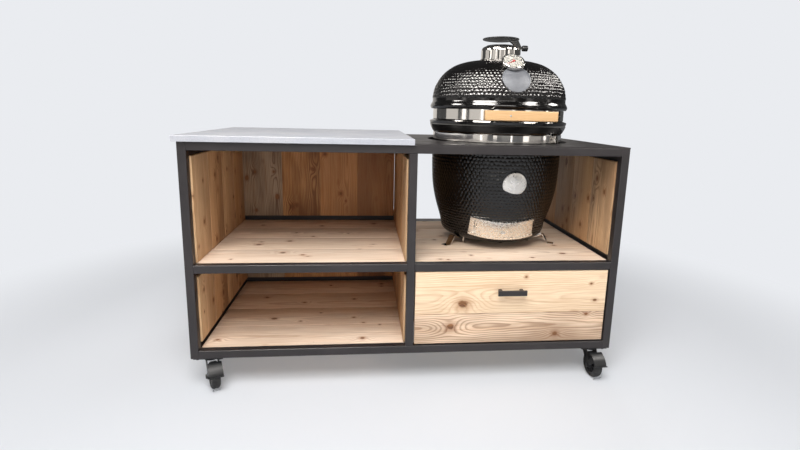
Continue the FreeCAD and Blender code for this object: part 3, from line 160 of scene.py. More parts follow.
def makeConcrete():
    # Fine concrete, cast and honed: cool pale grey clouds, tiny pores painted darker as painted shade in
    # them, and a soft sheen
    material, shader, coords = newMaterial("honedConcrete", {"Base Color": "#C9CCD4", "Roughness": 0.5})
    clouds = rampOf(noiseAt(coords, 150, 6, Roughness=0.62),
                    [(0.3, "#A9ABB3"), (0.5, "#B4B5BB"), (0.72, "#BFBEC1")])
    speckle = noiseAt(coords, 3.0, 2)
    fine = rampOf(speckle, [(0.35, "#DADADA"), (0.6, "#FFFFFF")])
    pores = addNode(coords.id_data, "ShaderNodeTexVoronoi", {"Scale": 1000 / 14.0}, {"Vector": coords})
    poreDepthAndShade = rampOf(pores.outputs["Distance"], [(0.06, 0.0), (0.12, 1.0)])
    colour = mixOf(0.5, clouds, tinted(clouds, fine))
    # the pores take a darker grey, painted shade in them; the same mask also sinks them in the bump
    into(shader, Base_Color=mixOf(poreDepthAndShade, "#979696", colour),
         Roughness=rampOf(noiseAt(coords, 90, 3), [(0.3, 0.42), (0.7, 0.6)]))
    bumpInto(shader, plus(times(poreDepthAndShade, 0.6), speckle), 0.15, 0.6)
    return material


def makeSpruce():
    # Sawn spruce scaffold boards, brushed and oiled: growth rings cut flat, knots with swirls round them.
    # Each board says its own tone, pith, knots and weathering, so no two look alike; its tone also carries
    # painted light on the shelves and painted shade on the back boards.
    material, shader, coords = newMaterial("oiledSpruce", {"Base Color": "#D8B58A", "Roughness": 0.62,
                                                           "Specular IOR Level": 0.35})

    def told(name, output="Vector"):
        return addNode(shader.id_data, "ShaderNodeAttribute",
                       {"attribute_type": "OBJECT", "attribute_name": name}).outputs[output]

    def wavering(sizeMm, stretch, width):
        return times(minus(noiseAt(own, sizeMm, 2, stretch), 0.5), width)

    seed, ringStrength = told("boardSeed", "Fac"), told("ringStrength", "Fac")
    x, y, z = apart(coords)
    pithY, pithDepth, pithSlope = apart(told("pith"))
    shift = addNode(shader.id_data, "ShaderNodeCombineXYZ", {}, {0: seed, 1: seed, 2: seed}).outputs[0]
    own = vectorOf("ADD", coords, shift)
    acrossGrain = plus(minus(y, pithY), wavering(260, (1, 1, 1), 0.030))
    depth = plus(plus(pithDepth, z), times(x, pithSlope))
    ring = plus(wavering(40, (0.25, 1, 1), 0.009), mathOf("SQRT", squares(acrossGrain, depth)))
    ragged = wavering(16, (1, 1, 1), 0.5)
    knots, halos = [], []
    for name in ("knotA", "knotB", "knotC"):
        knotX, knotY, knotSize = apart(told(name))
        alongKnot, acrossKnot = ratio(minus(x, knotX), knotSize), ratio(minus(y, knotY), knotSize)
        near = plus(mathOf("SQRT", squares(times(alongKnot, 0.8), acrossKnot)), ragged)
        # the rings part round the knot, further along the grain than across it
        swell = mathOf("EXPONENT", times(squares(times(alongKnot, 0.22), times(acrossKnot, 0.42)), -1.0))
        ring = plus(ring, times(times(swell, knotSize), 2.2))
        knots.append(rampOf(near, [(0.62, 1.0), (0.98, 0.0)]))
        halos.append(rampOf(times(near, 0.4), [(0.3, 1.0), (0.95, 0.0)]))

    # pin knots: a few cells of a flat pattern carry a dark oval about 9 mm across
    cells = addNode(shader.id_data, "ShaderNodeTexVoronoi", {"Scale": 1000 / 62.0, "Randomness": 0.9},
                    {"Vector": vectorOf("MULTIPLY", own, (0.62, 1, 0))})
    size = times(mathOf("SUBTRACT", apart(cells.outputs["Color"])[0], 0.62, True), 0.42)
    close = minus(cells.outputs["Distance"], size)
    knots.append(rampOf(close, [(0.0, 1.0), (0.035, 0.0)]))
    halos.append(times(rampOf(close, [(0.0, 0.8), (0.16, 0.0)]), rampOf(size, [(0.0, 0.0), (0.03, 1.0)])))
    knotMask, haloMask = functools.reduce(larger, knots), functools.reduce(larger, halos)

    # yearly rings are about 3 mm, drawn 7 mm apart here so that they still show in a small picture
    rings = rampOf(mathOf("FRACT", times(ring, 1000 / 7.0)),
                   [(0.0, 0.15), (0.45, 0.0), (0.8, 0.75), (0.9, 1.0), (1.0, 0.15)])
    ringFade = rampOf(noiseAt(own, 120, 2, (0.3, 1, 1)), [(0.3, 0.25), (0.7, 1.0)])
    fibres = noiseAt(own, 3.0, 3, (0.03, 1, 1))
    streaks = noiseAt(own, 22, 3, (0.05, 1, 1))
    # weathering follows the rings, so it shows as long grey tongues
    tongues = plus(times(rings, 0.18), noiseAt(own, 110, 3, (0.22, 1, 1)))
    weather = times(told("weathering", "Fac"), rampOf(tongues, [(0.42, 0.0), (0.62, 1.0)]))
    # the tone holds painted light on the shelf boards and painted shade on the back boards
    colour = told("tone", "Color")
    for mask, tint in ((times(rings, times(ringFade, ringStrength)), "#C9A07A"),
                       (rampOf(fibres, [(0.35, 0.3), (0.6, 0.0)]), "#D0B597"),
                       (rampOf(streaks, [(0.5, 0.0), (0.75, 0.4)]), "#D8B896"),
                       (weather, "#A0938A"),
                       (times(haloMask, 0.55), "#B27F52")):
        colour = mixOf(mask, colour, tinted(colour, tint))
    knotRings = rampOf(mathOf("FRACT", times(ring, 1000 / 3.0)), [(0.2, "#5A3519"), (0.8, "#8A5A33")])
    into(shader, Base_Color=mixOf(times(knotMask, 0.9), colour, knotRings),
         Roughness=rampOf(fibres, [(0.3, 0.72), (0.7, 0.52)]))
    bumpInto(shader, plus(times(rings, 0.5), plus(times(knotMask, 0.6), fibres)), 0.5, 0.45)
    return material


def makePlywood():
    # Birch plywood, peeled, glued and sanded: pale face grain, with its layers on the cut edges
    material, shader, coords = newMaterial("sandedPlywood", {"Base Color": "#D9BC8E", "Roughness": 0.55})
    grain = noiseAt(coords, 6, 4, (1, 0.04, 1))
    face = rampOf(grain, [(0.3, "#C9A877"), (0.6, "#E2C99D")])
    layers = mathOf("FRACT", times(apart(coords)[2], 1000 / 3.0))
    edge = rampOf(layers, [(0.45, "#B98F5E"), (0.55, "#DCC197")])
    into(shader, Base_Color=mixOf(0.2, face, edge))
    bumpInto(shader, grain, 0.1, 0.4)
    return material


def makeFireClay():
    # Cordierite, pressed and fired without glaze: warm cream, sandy and dull, sooty in patches
    material, shader, coords = newMaterial("firedCordierite", {"Base Color": "#C4AE90", "Roughness": 0.9})
    soot = rampOf(noiseAt(coords, 120, 4), [(0.4, 0.0), (0.8, 0.45)])
    grit = noiseAt(coords, 2.0, 3)
    body = rampOf(grit, [(0.3, "#B49C7E"), (0.7, "#D3C0A4")])
    into(shader, Base_Color=mixOf(soot, body, "#6F6154"))
    bumpInto(shader, grit, 0.4, 0.6)
    return material


def makeSpunSteel():
    # Stainless sheet, spun on a lathe: fine rings draw each light out into a bright fan
    look = {"Base Color": "#E4E0DA", "Metallic": 1.0, "Roughness": 0.26, "Anisotropic": 0.85}
    material, shader, coords = newMaterial("spunStainless", look)
    around = addNode(shader.id_data, "ShaderNodeTangent", {"direction_type": "RADIAL", "axis": "Z"})
    into(shader, Roughness=rampOf(noiseAt(coords, 8, 3), [(0.3, 0.24), (0.7, 0.36)]),
         Tangent=around.outputs[0])
    return material


def makeBamboo():
    # Laminated bamboo, glued strips planed and lacquered: honey yellow with fine straight fibres
    look = {"Base Color": "#D0A266", "Roughness": 0.32, "Coat Weight": 0.25, "Coat Roughness": 0.15}
    material, shader, coords = newMaterial("laminatedBamboo", look)
    strips = addNode(shader.id_data, "ShaderNodeTexWhiteNoise", {"noise_dimensions": "1D"},
                     {"W": mathOf("FLOOR", times(apart(coords)[2], 1000 / 12.4))})
    fibres = noiseAt(coords, 1.5, 3, (0.02, 1, 1))
    base = rampOf(fibres, [(0.3, "#CF9F68"), (0.55, "#D9B080"), (0.8, "#DFBB8F")])
    toned = mixOf(times(strips.outputs["Value"], 0.3), base, "#C9985A")
    marks = rampOf(noiseAt(coords, 55, 2, (1, 0.3, 0.3)), [(0.66, 0.0), (0.74, 0.5)])
    into(shader, Base_Color=mixOf(marks, toned, "#B5834A"))
    bumpInto(shader, fibres, 0.08, 0.4)
    return material


def makeBrushedSteel(name, colour, roughness, grainMm, reliefMm=0.04):
    # Steel rod or sheet with a drawn or brushed surface: soft, streaky reflections
    grain = (grainMm, 4, (1, 0.08, 1))
    return makeFinish(name, {"Base Color": colour, "Metallic": 1.0, "Roughness": roughness},
                      roughness=(grain, [(0.3, roughness - 0.08), (0.7, roughness + 0.12)]),
                      bump=(grain, reliefMm, 0.4) if reliefMm else None)


def makeCasting(name, colour, light):
    # Cast or pressed metal, seasoned, enamelled or painted: finely pitted, with a low sheen
    return makeFinish(name, {"Base Color": colour, "Roughness": 0.5, "Specular IOR Level": 0.5},
                      colour=((30, 3), [(0.3, colour), (0.7, light)]),
                      roughness=((1.8, 3), [(0.3, 0.38), (0.7, 0.6)]), bump=((1.8, 3), 0.15, 0.5))


def makePlastic(name, colour, light, roughness):
    # Moulded plastic: an even colour with the fine spark-eroded grain of its mould
    return makeFinish(name, {"Base Color": colour, "Roughness": roughness},
                      colour=((25, 3), [(0.3, colour), (0.7, light)]), bump=((0.9, 2), 0.05, 0.5))


# Powder coated mild steel, sprayed and baked: a dark grey-brown skin with a faint orange peel
powderCoat = makeFinish(
    "powderCoatedSteel", {"Base Color": "#252122", "Roughness": 0.42, "Specular IOR Level": 0.5},
    colour=((180, 3), [(0.3, "#211D1E"), (0.7, "#2B2627")]),
    roughness=((60, 4), [(0.3, 0.36), (0.7, 0.5)]), bump=((1.4, 2), 0.05, 0.5))
# Kiln fired ceramic with a thick black gloss glaze: deep black, sharp sparkles on every pebble
glaze = makeFinish(
    "glazedCeramic", {"Base Color": "#070606", "Roughness": 0.14, "IOR": 1.5},
    colour=((40, 4), [(0.3, "#060505"), (0.75, "#0C0A0A")]),
    roughness=((18, 4), [(0.3, 0.08), (0.75, 0.2)]), bump=((7, 2), 0.12, 0.5))
# Stainless sheet, rolled and polished: a mirror with faint ripples and hairline wipe marks
polished = makeFinish(
    "polishedStainless", {"Base Color": "#D2CFCB", "Metallic": 1.0, "Roughness": 0.09},
    roughness=((30, 5, (1, 1, 0.15)), [(0.35, 0.05), (0.75, 0.16)]), bump=((38, 1, (1, 1, 0.12)), 0.5, 0.35))
# Wool felt, pressed: dark, dull and fuzzy, with short crossing fibres
felt = makeFinish(
    "pressedFelt", {"Base Color": "#26241F", "Roughness": 0.95, "Sheen Weight": 0.4},
    colour=((1.6, 4), [(0.35, "#1B1916"), (0.65, "#35322C")]), bump=((1.6, 4), 0.4, 0.7))
# Thermoplastic rubber tread, moulded: dull charcoal, dusty and slightly scuffed
rubber = makeFinish(
    "mouldedRubber", {"Base Color": "#1E1E1F", "Roughness": 0.68},
    colour=((12, 5), [(0.45, "#1A1A1B"), (0.75, "#3A3937")]), bump=((1.2, 3), 0.12, 0.5))
# Printed aluminium dial: clean warm white under the glass
dialPrint = makeFinish("printedDial", {"Base Color": "#B0ACA2", "Roughness": 0.5},
                       colour=((20, 3), [(0.3, "#A9A59A"), (0.7, "#B6B2A9")]))
# Pressed glass lens: clear, with a faint waviness from the mould
lensGlass = makeFinish(
    "pressedGlass", {"Base Color": "#FFFFFF", "Roughness": 0.02, "IOR": 1.5, "Transmission Weight": 1.0},
    bump=((14, 1), 0.05, 0.3))
concrete = makeConcrete()
spruce = makeSpruce()
plywood = makePlywood()
fireClay = makeFireClay()
spunSteel = makeSpunSteel()
bamboo = makeBamboo()
brushedSheet = makeBrushedSteel("brushedStainless", "#E2DDD6", 0.24, 9.0, 0)
drawnSteel = makeBrushedSteel("drawnStainlessRod", "#B9B8B5", 0.3, 2.0)
zincSheet = makeBrushedSteel("zincPlatedSheet", "#AEB2B5", 0.36, 3.0)
springSteel = makeBrushedSteel("oiledSpringSteel", "#7C7B7A", 0.3, 2.0)
castRim = makeCasting("castAluminiumEdge", "#5C5E63", "#6E7075")
castGrey = makeCasting("castAluminium", "#2C2D31", "#383A3F")
seasonedIron = makeCasting("seasonedCastIron", "#151414", "#232120")
enamelledIron = makeCasting("enamelledCastIron", "#16181C", "#22252A")
pressedBlack = makeCasting("blackPressedSteel", "#0D0D0E", "#151517")
pedalPlastic = makePlastic("mouldedPolyamide", "#141517", "#1B1C1F", 0.36)
pedalGrey = makePlastic("mouldedGreyPolyamide", "#7C7E83", "#8A8C91", 0.4)
knobPlastic = makePlastic("heatproofPhenolic", "#0F1012", "#17181B", 0.38)
hubPlastic = makePlastic("mouldedPolypropylene", "#1B1B1D", "#242427", 0.45)
# Baked enamel and printed ink: thin films, as even and as finely grained as the mouldings
redEnamel = makePlastic("redEnamel", "#B32018", "#BF2A20", 0.3)
darkInk = makePlastic("printedInk", "#181818", "#202020", 0.5)
print("materials made:", len(bpy.data.materials))


# Helpers for shapes

def addObject(name, data):
    thing = bpy.data.objects.new(name, data)
    bpy.context.scene.collection.objects.link(thing)
    return thing


def newPiece(name, vertices, faces, material, smoothBelow=35.0):
    mesh = bpy.data.meshes.new(name)
    mesh.from_pydata(vertices, [], faces)
    mesh.validate()
    mesh.update()
    mesh.materials.append(material)
    mesh.shade_smooth()
    mesh.set_sharp_from_angle(angle=math.radians(smoothBelow))
    return addObject(name, mesh)


def builtMesh(thing):
    # the mesh of an object as its modifiers or its text leave it
    bpy.context.view_layer.update()
    return bpy.data.meshes.new_from_object(thing.evaluated_get(bpy.context.evaluated_depsgraph_get()))


def settle(piece, body, slotName=None, *replaced):
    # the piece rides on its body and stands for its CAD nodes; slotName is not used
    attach(piece, body)
    if replaced:
        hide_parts(*replaced)
    return piece


def solidsOf(nodeName):
    # each separate solid in a CAD node, as its corners and its faces
    mesh = bmesh.new()
    mesh.from_mesh(nodes[nodeName].data)
    bmesh.ops.remove_doubles(mesh, verts=mesh.verts, dist=0.01 * mm)
    seen, solids = set(), []
    for start in mesh.faces:
        if start in seen:
            continue
        seen.add(start)
        group, waiting = [start], [start]
        while waiting:
            for edge in waiting.pop().edges:
                for other in edge.link_faces:
                    if other not in seen:
                        seen.add(other)
                        group.append(other)
                        waiting.append(other)
        order = {}
        faces = [tuple(order.setdefault(vertex, len(order)) for vertex in face.verts) for face in group]
        solids.append(([vertex.co.copy() for vertex in order], faces))
    mesh.free()
    return solids


def boxOf(corners):
    return tuple(Vector(pick(corner[i] for corner in corners) for i in range(3)) for pick in (min, max))


def solidBoxes(nodeName):
    # the box of each solid, lowest first, then from left to right and front to back
    return sorted((boxOf(corners) for corners, _ in solidsOf(nodeName)),
                  key=lambda box: [round(v, 3) for v in (box[0].z, box[0].x, box[0].y)])


def smoothLine(points, step):
    # a curve through the points, as places about step apart
    line = [Vector(points[0])]
    for i in range(len(points) - 1):
        p1, p2 = Vector(points[i]), Vector(points[i + 1])
        p0 = Vector(points[i - 1]) if i > 0 else 2 * p1 - p2
        p3 = Vector(points[i + 2]) if i + 2 < len(points) else 2 * p2 - p1
        count = max(1, round((p2 - p1).length / step))
        for j in range(1, count + 1):
            t = j / count
            line.append(0.5 * (2 * p1 + (p2 - p0) * t + (2 * p0 - 5 * p1 + 4 * p2 - p3) * t * t
                               + (3 * p1 - p0 - 3 * p2 + p3) * t ** 3))
    return line


def straightLine(points, step):
    line = [Vector(points[0])]
    for a, b in zip(points, points[1:]):
        count = max(1, round((Vector(b) - Vector(a)).length / step))
        line += [Vector(a).lerp(Vector(b), j / count) for j in range(1, count + 1)]
    return line


def turnedPiece(name, outline, centre, columns, material, smoothBelow=35.0, start=0.0, sweep=360.0):
    # an outline of (radius, height) turned about a vertical axis; a part turn is closed at both ends
    full = sweep >= 360.0
    rows = len(outline)
    count = columns if full else columns + 1
    vertices, faces = [], []
    for i in range(count):
        angle = math.radians(start + sweep * i / columns - 90.0)
        vertices += [(centre.x + radius * math.cos(angle), centre.y + radius * math.sin(angle), height)
                     for radius, height in outline]
    for i in range(columns):
        a, b = i * rows, (i + 1) % count * rows
        faces += [(a + j, b + j, b + (j + 1) % rows, a + (j + 1) % rows) for j in range(rows)]
    if not full:
        faces.append(tuple(range(rows - 1, -1, -1)))
        faces.append(tuple(range((count - 1) * rows, count * rows)))
    return newPiece(name, vertices, faces, material, smoothBelow)


def heading(angle):
    return Vector((math.cos(angle), math.sin(angle), 0))


def ringPoints(radius, height, count):
    return [radius * heading(math.tau * k / count) + Vector((0, 0, height)) for k in range(count)]


def bandFaces(first, second, count):
    # the faces between two rings of corners
    return [(first + k, first + (k + 1) % count, second + (k + 1) % count, second + k) for k in range(count)]


def boxFaces(first):
    # the faces of a block with four corners on one side, then four on the other
    return [tuple(first + k for k in quad) for quad in
            ((0, 1, 2, 3), (7, 6, 5, 4), (0, 4, 5, 1), (1, 5, 6, 2), (2, 6, 7, 3), (3, 7, 4, 0))]


def cut(piece, cutter):
    # takes the cutter's shape out of the piece and removes the cutter
    modifier = piece.modifiers.new("cut", "BOOLEAN")
    modifier.operation, modifier.solver, modifier.object = "DIFFERENCE", "EXACT", cutter
    mesh = builtMesh(piece)
    piece.modifiers.clear()
    piece.data = mesh
    bpy.data.objects.remove(cutter)


# Camera where the photographer stood, with the small shift that its crop needs

viewpoint = {"place": (-0.166526, -1.999974, 1.028862), "yaw": 5.710, "down": 10.612, "roll": 1.338,
             "lens": 21.159, "shift": (-0.012835, -0.031161)}


def makeCamera():
    yaw, down, roll = (math.radians(viewpoint[k]) for k in ("yaw", "down", "roll"))
    ahead = Vector((math.sin(yaw) * math.cos(down), math.cos(yaw) * math.cos(down), -math.sin(down)))
    level = Vector((math.cos(yaw), -math.sin(yaw), 0))
    upright = level.cross(ahead)
    right = math.cos(roll) * level + math.sin(roll) * upright
    up = -math.sin(roll) * level + math.cos(roll) * upright
    turn = Matrix((right, up, -ahead)).transposed().to_4x4()
    data = bpy.data.cameras.new("camera")
    data.sensor_width = 36.0
    data.lens = viewpoint["lens"]
    data.shift_x, data.shift_y = viewpoint["shift"]
    data.clip_start, data.clip_end = 0.05, 200
    camera = addObject("camera", data)
    camera.matrix_world = Matrix.Translation(viewpoint["place"]) @ turn
    bpy.context.scene.camera = camera


# Studio: a pale floor that melts into a pale background, soft lamps, and cards that only mirrors see

studio = {"background": "#EAECF0", "floor": "#E0E2E6", "daylight": 0.23, "gloom": 0.09,
          "fadeFrom": 1.2, "fadeTo": 2.6, "evenness": 0.2, "floorReach": 40.0,
          "cardTone": "#FFFAF4", "cardTarget": (0.4, 0.0, 0.9),
          "lamps": [("skyLamp", (-0.5, -2.1, 3.3), (0.0, 0.0, 0.4), 2.0, 142),
                    ("frontLamp", (0.3, -4.0, 0.9), (0.0, 0.0, 0.5), 2.4, 44),
                    ("backLamp", (0.8, 2.4, 2.8), (0.2, 0.0, 0.8), 1.4, 24)],
          "cards": [("cardTopLeft", (-0.9, -1.5, 3.0), 1.5, 0.9, 48),
                    ("cardTopFarLeft", (-2.8, 0.0, 2.8), 1.0, 0.7, 34),
                    ("cardTopRight", (1.9, -1.3, 2.8), 0.8, 0.7, 34),
                    ("cardTopFarRight", (3.1, 0.4, 2.7), 0.9, 0.7, 22),
                    ("cardTopFar", (0.1, -3.8, 3.2), 2.6, 0.7, 10),
                    ("cardFarLeft", (-3.6, -1.3, 1.4), 0.5, 2.2, 2.8),
                    ("cardLeft", (-2.4, -3.4, 1.3), 0.22, 2.0, 3.2),
                    ("cardMiddleLeft", (-0.9, -4.4, 1.6), 0.5, 1.8, 1.6),
                    ("cardMiddleRight", (1.2, -4.2, 1.4), 0.16, 2.2, 3.0),
                    ("cardRight", (2.6, -3.0, 1.4), 0.7, 2.2, 1.8),
                    ("cardFarRight", (3.6, -0.9, 1.5), 0.3, 2.2, 2.4),
                    ("hedgeLeft", (-3.2, -3.5, 1.6), 3.0, 2.2, 0.85),
                    ("hedgeSide", (-3.9, 0.6, 1.3), 2.2, 1.6, 0.8),
                    ("hedgeFront", (0.3, -5.6, 1.7), 3.4, 2.0, 0.6),
                    ("hedgeRight", (4.2, -3.0, 1.5), 2.6, 1.8, 0.45),
                    ("skyBehind", (0.2, 4.2, 1.3), 5.0, 2.0, 0.8)]}


def clearTree(owner):
    owner.use_nodes = True
    owner.node_tree.nodes.clear()
    return owner.node_tree


def lightPath(tree):
    # the ray's kinds, and whether the camera sees the place straight or through glass
    path = addNode(tree, "ShaderNodeLightPath").outputs
    return path, larger(path["Is Camera Ray"], path["Is Transmission Ray"])


def stageSheet(name, width, height, materialName):
    # a flat sheet about the middle, with an empty material of its own
    x, y = width / 2, height / 2
    sheet = newPiece(name, [(-x, -y, 0), (x, -y, 0), (x, y, 0), (-x, y, 0)], [(0, 1, 2, 3)],
                     bpy.data.materials.new(materialName))
    return sheet, clearTree(sheet.data.materials[0])


def makeCard(name, place, width, height, strength):
    card, tree = stageSheet(name, width, height, name)
    glow = addNode(tree, "ShaderNodeEmission", {"Color": studio["cardTone"], "Strength": strength})
    addNode(tree, "ShaderNodeOutputMaterial", {}, {"Surface": glow.outputs[0]})
    towards = (Vector(studio["cardTarget"]) - Vector(place)).normalized()
    side = Vector((0, 0, 1)).cross(towards).normalized()
    turn = Matrix((side, towards.cross(side), towards)).transposed().to_4x4()
    card.matrix_world = Matrix.Translation(place) @ turn
    for kind in ("camera", "diffuse", "transmission", "volume_scatter", "shadow"):
        setattr(card, "visible_" + kind, False)


def makeWorld():
    world = bpy.data.worlds.new("paleStudio")
    bpy.context.scene.world = world
    tree = clearTree(world)
    path, seen = lightPath(tree)
    light, gloom, shown = (addNode(tree, "ShaderNodeBackground", {"Color": colour, "Strength": strength})
                           for colour, strength in (("#FFFFFF", studio["daylight"]),
                                                    ("#FFFFFF", studio["gloom"]),
                                                    (studio["background"], 1.0)))
    unseen = addNode(tree, "ShaderNodeMixShader", {}, {0: path["Is Glossy Ray"], 1: light.outputs[0],
                                                       2: gloom.outputs[0]})
    both = addNode(tree, "ShaderNodeMixShader", {}, {0: seen, 1: unseen.outputs[0], 2: shown.outputs[0]})
    addNode(tree, "ShaderNodeOutputWorld", {}, {"Surface": both.outputs[0]})


def makeFloor():
    floor, tree = stageSheet("floor", 2 * studio["floorReach"], 2 * studio["floorReach"], "paintedFloor")
    coords = addNode(tree, "ShaderNodeTexCoord").outputs["Object"]
    away = addNode(tree, "ShaderNodeVectorMath", {"operation": "LENGTH"}, {0: coords}).outputs["Value"]
    fade = addNode(tree, "ShaderNodeMapRange", {"interpolation_type": "SMOOTHSTEP",
                   "From Min": studio["fadeFrom"], "From Max": studio["fadeTo"]}, {"Value": away})
    paint = addNode(tree, "ShaderNodeBsdfDiffuse", {"Color": studio["floor"]})
    glow = addNode(tree, "ShaderNodeEmission", {"Color": studio["background"], "Strength": 1.0})
    mixed = times(larger(fade.outputs[0], studio["evenness"]), lightPath(tree)[1])
    surface = addNode(tree, "ShaderNodeMixShader", {}, {0: mixed, 1: paint.outputs[0], 2: glow.outputs[0]})
    addNode(tree, "ShaderNodeOutputMaterial", {}, {"Surface": surface.outputs[0]})


def makeLamp(name, place, target, size, power):
    data = bpy.data.lights.new(name, "AREA")
    data.shape, data.size, data.energy = "SQUARE", size, power
    lamp = addObject(name, data)
    lamp.location = place
    lamp.rotation_euler = (Vector(target) - Vector(place)).to_track_quat("-Z", "Y").to_euler()
    lamp.visible_glossy = False


makeCamera()
bpy.context.scene.view_settings.view_transform = "Standard"
makeWorld()
makeFloor()
for lamp in studio["lamps"]:
    makeLamp(*lamp)
for card in studio["cards"]:
    makeCard(*card)
print("camera and studio ready")


# CAD nodes that keep their shape and take a finish

keptNodes = [
    (powderCoat, ["frame_posts", "frame_top_rails", "frame_mid_rails", "frame_bottom_rails", "board_bars",
                  "runner_bars", "grill_top_plate", "drawer_pull"]),
    (concrete, ["worktop_slab"]),
    (plywood, ["drawer_box"]),
    (zincSheet, ["runner_outer", "runner_middle", "runner_inner"]),
    (fireClay, ["fire_box", "fire_ring"]),
    (seasonedIron, ["charcoal_grate"]),
    (drawnSteel, ["cooking_grate", "cooking_grate_rim"]),
    (felt, ["base_gasket", "dome_gasket"]),
    (polished, ["hinge_bracket", "hinge_arms", "grill_feet", "handle_brackets", "thermometer_case",
                "chimney_collar", "vent_arm", "base_band", "dome_band"]),
    (brushedSheet, ["draft_door_frame"]),
    (springSteel, ["hinge_springs"]),
    (bamboo, ["lid_handle"]),
    (redEnamel, ["thermometer_needle"]),
    (enamelledIron, ["vent_cap", "damper_disc"]),
    (knobPlastic, ["vent_knob"]),
    (pressedBlack, ["castor_plates", "castor_fork_front_left", "castor_fork_front_right",
                    "castor_fork_rear_left", "castor_fork_rear_right"]),
    (pedalPlastic, ["brake_pedal_front_left", "brake_pedal_front_right"]),
]
for material, names in keptNodes:
    for name in names:
        mesh = nodes[name].data
        mesh.materials.clear()
        mesh.materials.append(material)
print("CAD nodes finished:", sum(len(names) for _, names in keptNodes))


# Boards, one piece each, rebuilt from the solids of their CAD nodes

timber = {"arris": 2.2 * mm, "wane": 0.5 * mm, "waves": (9, 1.7, 0.9), "phase": (0, 50), "stretches": 16,
          "seed": 4, "patternShift": (0, 40), "weatherShare": (0.4, 1.6), "seamFill": 2.2 * mm,
          "knotSize": (0.004, 0.0095), "knotAlong": 0.45, "knotAcross": 0.42,
          "pith": ((-0.07, 0.07), (0.02, 0.06), (-0.05, 0.05)),
          # the shelf tones are paler as painted light from above and the back tones darker as painted shade
          # deep in the bays, with some real difference from board to board; the wall tones sit between
          "floorTonesPaintedLight": ["#FBE6D0", "#F5DEC6", "#F2D9C0", "#EBCFB4"],
          "wallTones": ["#DDB88E", "#D0A67A", "#D8B084", "#C69A6C"],
          "backTonesPaintedShade": ["#A58D74", "#C9935E", "#C08A58", "#AE7A4D"]}
# node, piece name, tones (paler on the shelves as painted light, darker on the back boards as painted shade),
# weathering and strength of the rings
boardGroups = [("left_wall_boards", "leftWallBoard", "wallTones", 0.35, 0.45),
               ("right_wall_boards", "rightWallBoard", "wallTones", 0.5, 0.45),
               ("divider_boards", "dividerBoard", "wallTones", 0.3, 0.4),
               ("back_boards", "backBoard", "backTonesPaintedShade", 0.6, 0.3),
               ("left_shelf_boards", "leftShelfBoard", "floorTonesPaintedLight", 0.2, 0.4),
               ("grill_shelf_boards", "grillShelfBoard", "floorTonesPaintedLight", 0.25, 0.4),
               ("bottom_boards", "bottomShelfBoard", "floorTonesPaintedLight", 0.25, 0.4)]
# the drawer's front boards show their knots: along, across and size of each, then the pith
drawerFront = {"lower": ("drawerLowerBoard", "#EDD3B8", 0.7, 0.75,
                         [(-0.235, 0.008, 0.013), (0.18, -0.03, 0.009), (0.30, 0.05, 0.006)],
                         (0.004, 0.012, 0.03)),
               "upper": ("drawerUpperBoard", "#F3D9B8", 0.05, 0.5,
                         [(-0.19, -0.045, 0.017), (0.05, 0.06, 0.005), (0.31, 0.03, 0.005)],
                         (-0.02, 0.03, -0.03)),
               "batten": ("drawerBatten", "#D8B78A", 0.3, 0.4), "shortest": 0.5}


def boardMesh(name, length, width, thick, dice):
    # a block with rounded arrises, its long edges sawn a little unevenly
    mesh = bmesh.new()
    bmesh.ops.create_cube(mesh, size=1.0)
    bmesh.ops.scale(mesh, vec=(length, width, thick), verts=mesh.verts)
    bmesh.ops.bevel(mesh, geom=mesh.edges[:], offset=timber["arris"], segments=2, profile=0.6, affect="EDGES")
    longEdges = [e for e in mesh.edges if abs((e.verts[0].co - e.verts[1].co).x) > 0.7 * length]
    bmesh.ops.subdivide_edges(mesh, edges=longEdges, cuts=timber["stretches"], use_grid_fill=True)
    longWave, quick, slow = timber["waves"]
    phase = dice.uniform(*timber["phase"])
    for vertex in mesh.verts:
        along = vertex.co.x / length * longWave + phase
        inward = timber["wane"] * (0.5 + 0.5 * math.sin(along * quick) * math.cos(along * slow))
        atEnd = abs(vertex.co.x) >= 0.5 * length - 2 * timber["arris"]
        if not atEnd and abs(vertex.co.y) > 0.5 * width - 0.1 * mm:
            vertex.co.y -= math.copysign(inward, vertex.co.y)
    data = bpy.data.meshes.new(name)
    mesh.to_mesh(data)
    mesh.free()
    data.materials.append(spruce)
    data.shade_smooth()
    data.set_sharp_from_angle(angle=math.radians(50))
    return data


def makeBoard(box, dice, name, tone, weathering, ringStrength, knots=None, pith=None):
    # a board whose own X runs along its grain and whose own Z is its thickness
    low, high = box
    spans = sorted(((high[i] - low[i], i) for i in range(3)), reverse=True)
    length, width, thick = (span for span, _ in spans)
    axes = [Vector([1.0 if i == axis else 0.0 for i in range(3)]) for _, axis in spans]
    if axes[0].cross(axes[1]).dot(axes[2]) < 0:
        axes[2] = -axes[2]
    board = addObject(name, boardMesh(name, length, width, thick, dice))
    turn = Matrix([list(axis) for axis in axes]).transposed().to_4x4()
    board.matrix_world = Matrix.Translation((low + high) / 2) @ turn
    if knots is None:
        reach, side = timber["knotAlong"], timber["knotAcross"]
        knots = [(dice.uniform(-reach, reach) * length, dice.uniform(-side, side) * width,
                  dice.uniform(*timber["knotSize"])) for _ in range(3)]
    if pith is None:
        pith = [dice.uniform(*limits) for limits in timber["pith"]]
    for key, knot in zip(("knotA", "knotB", "knotC"), knots):
        board[key] = list(knot)
    board["pith"] = list(pith)
    board["tone"] = toLinear(tone)[:3]
    board["weathering"] = weathering
    board["ringStrength"] = ringStrength
    board["boardSeed"] = dice.uniform(*timber["patternShift"])
    return board


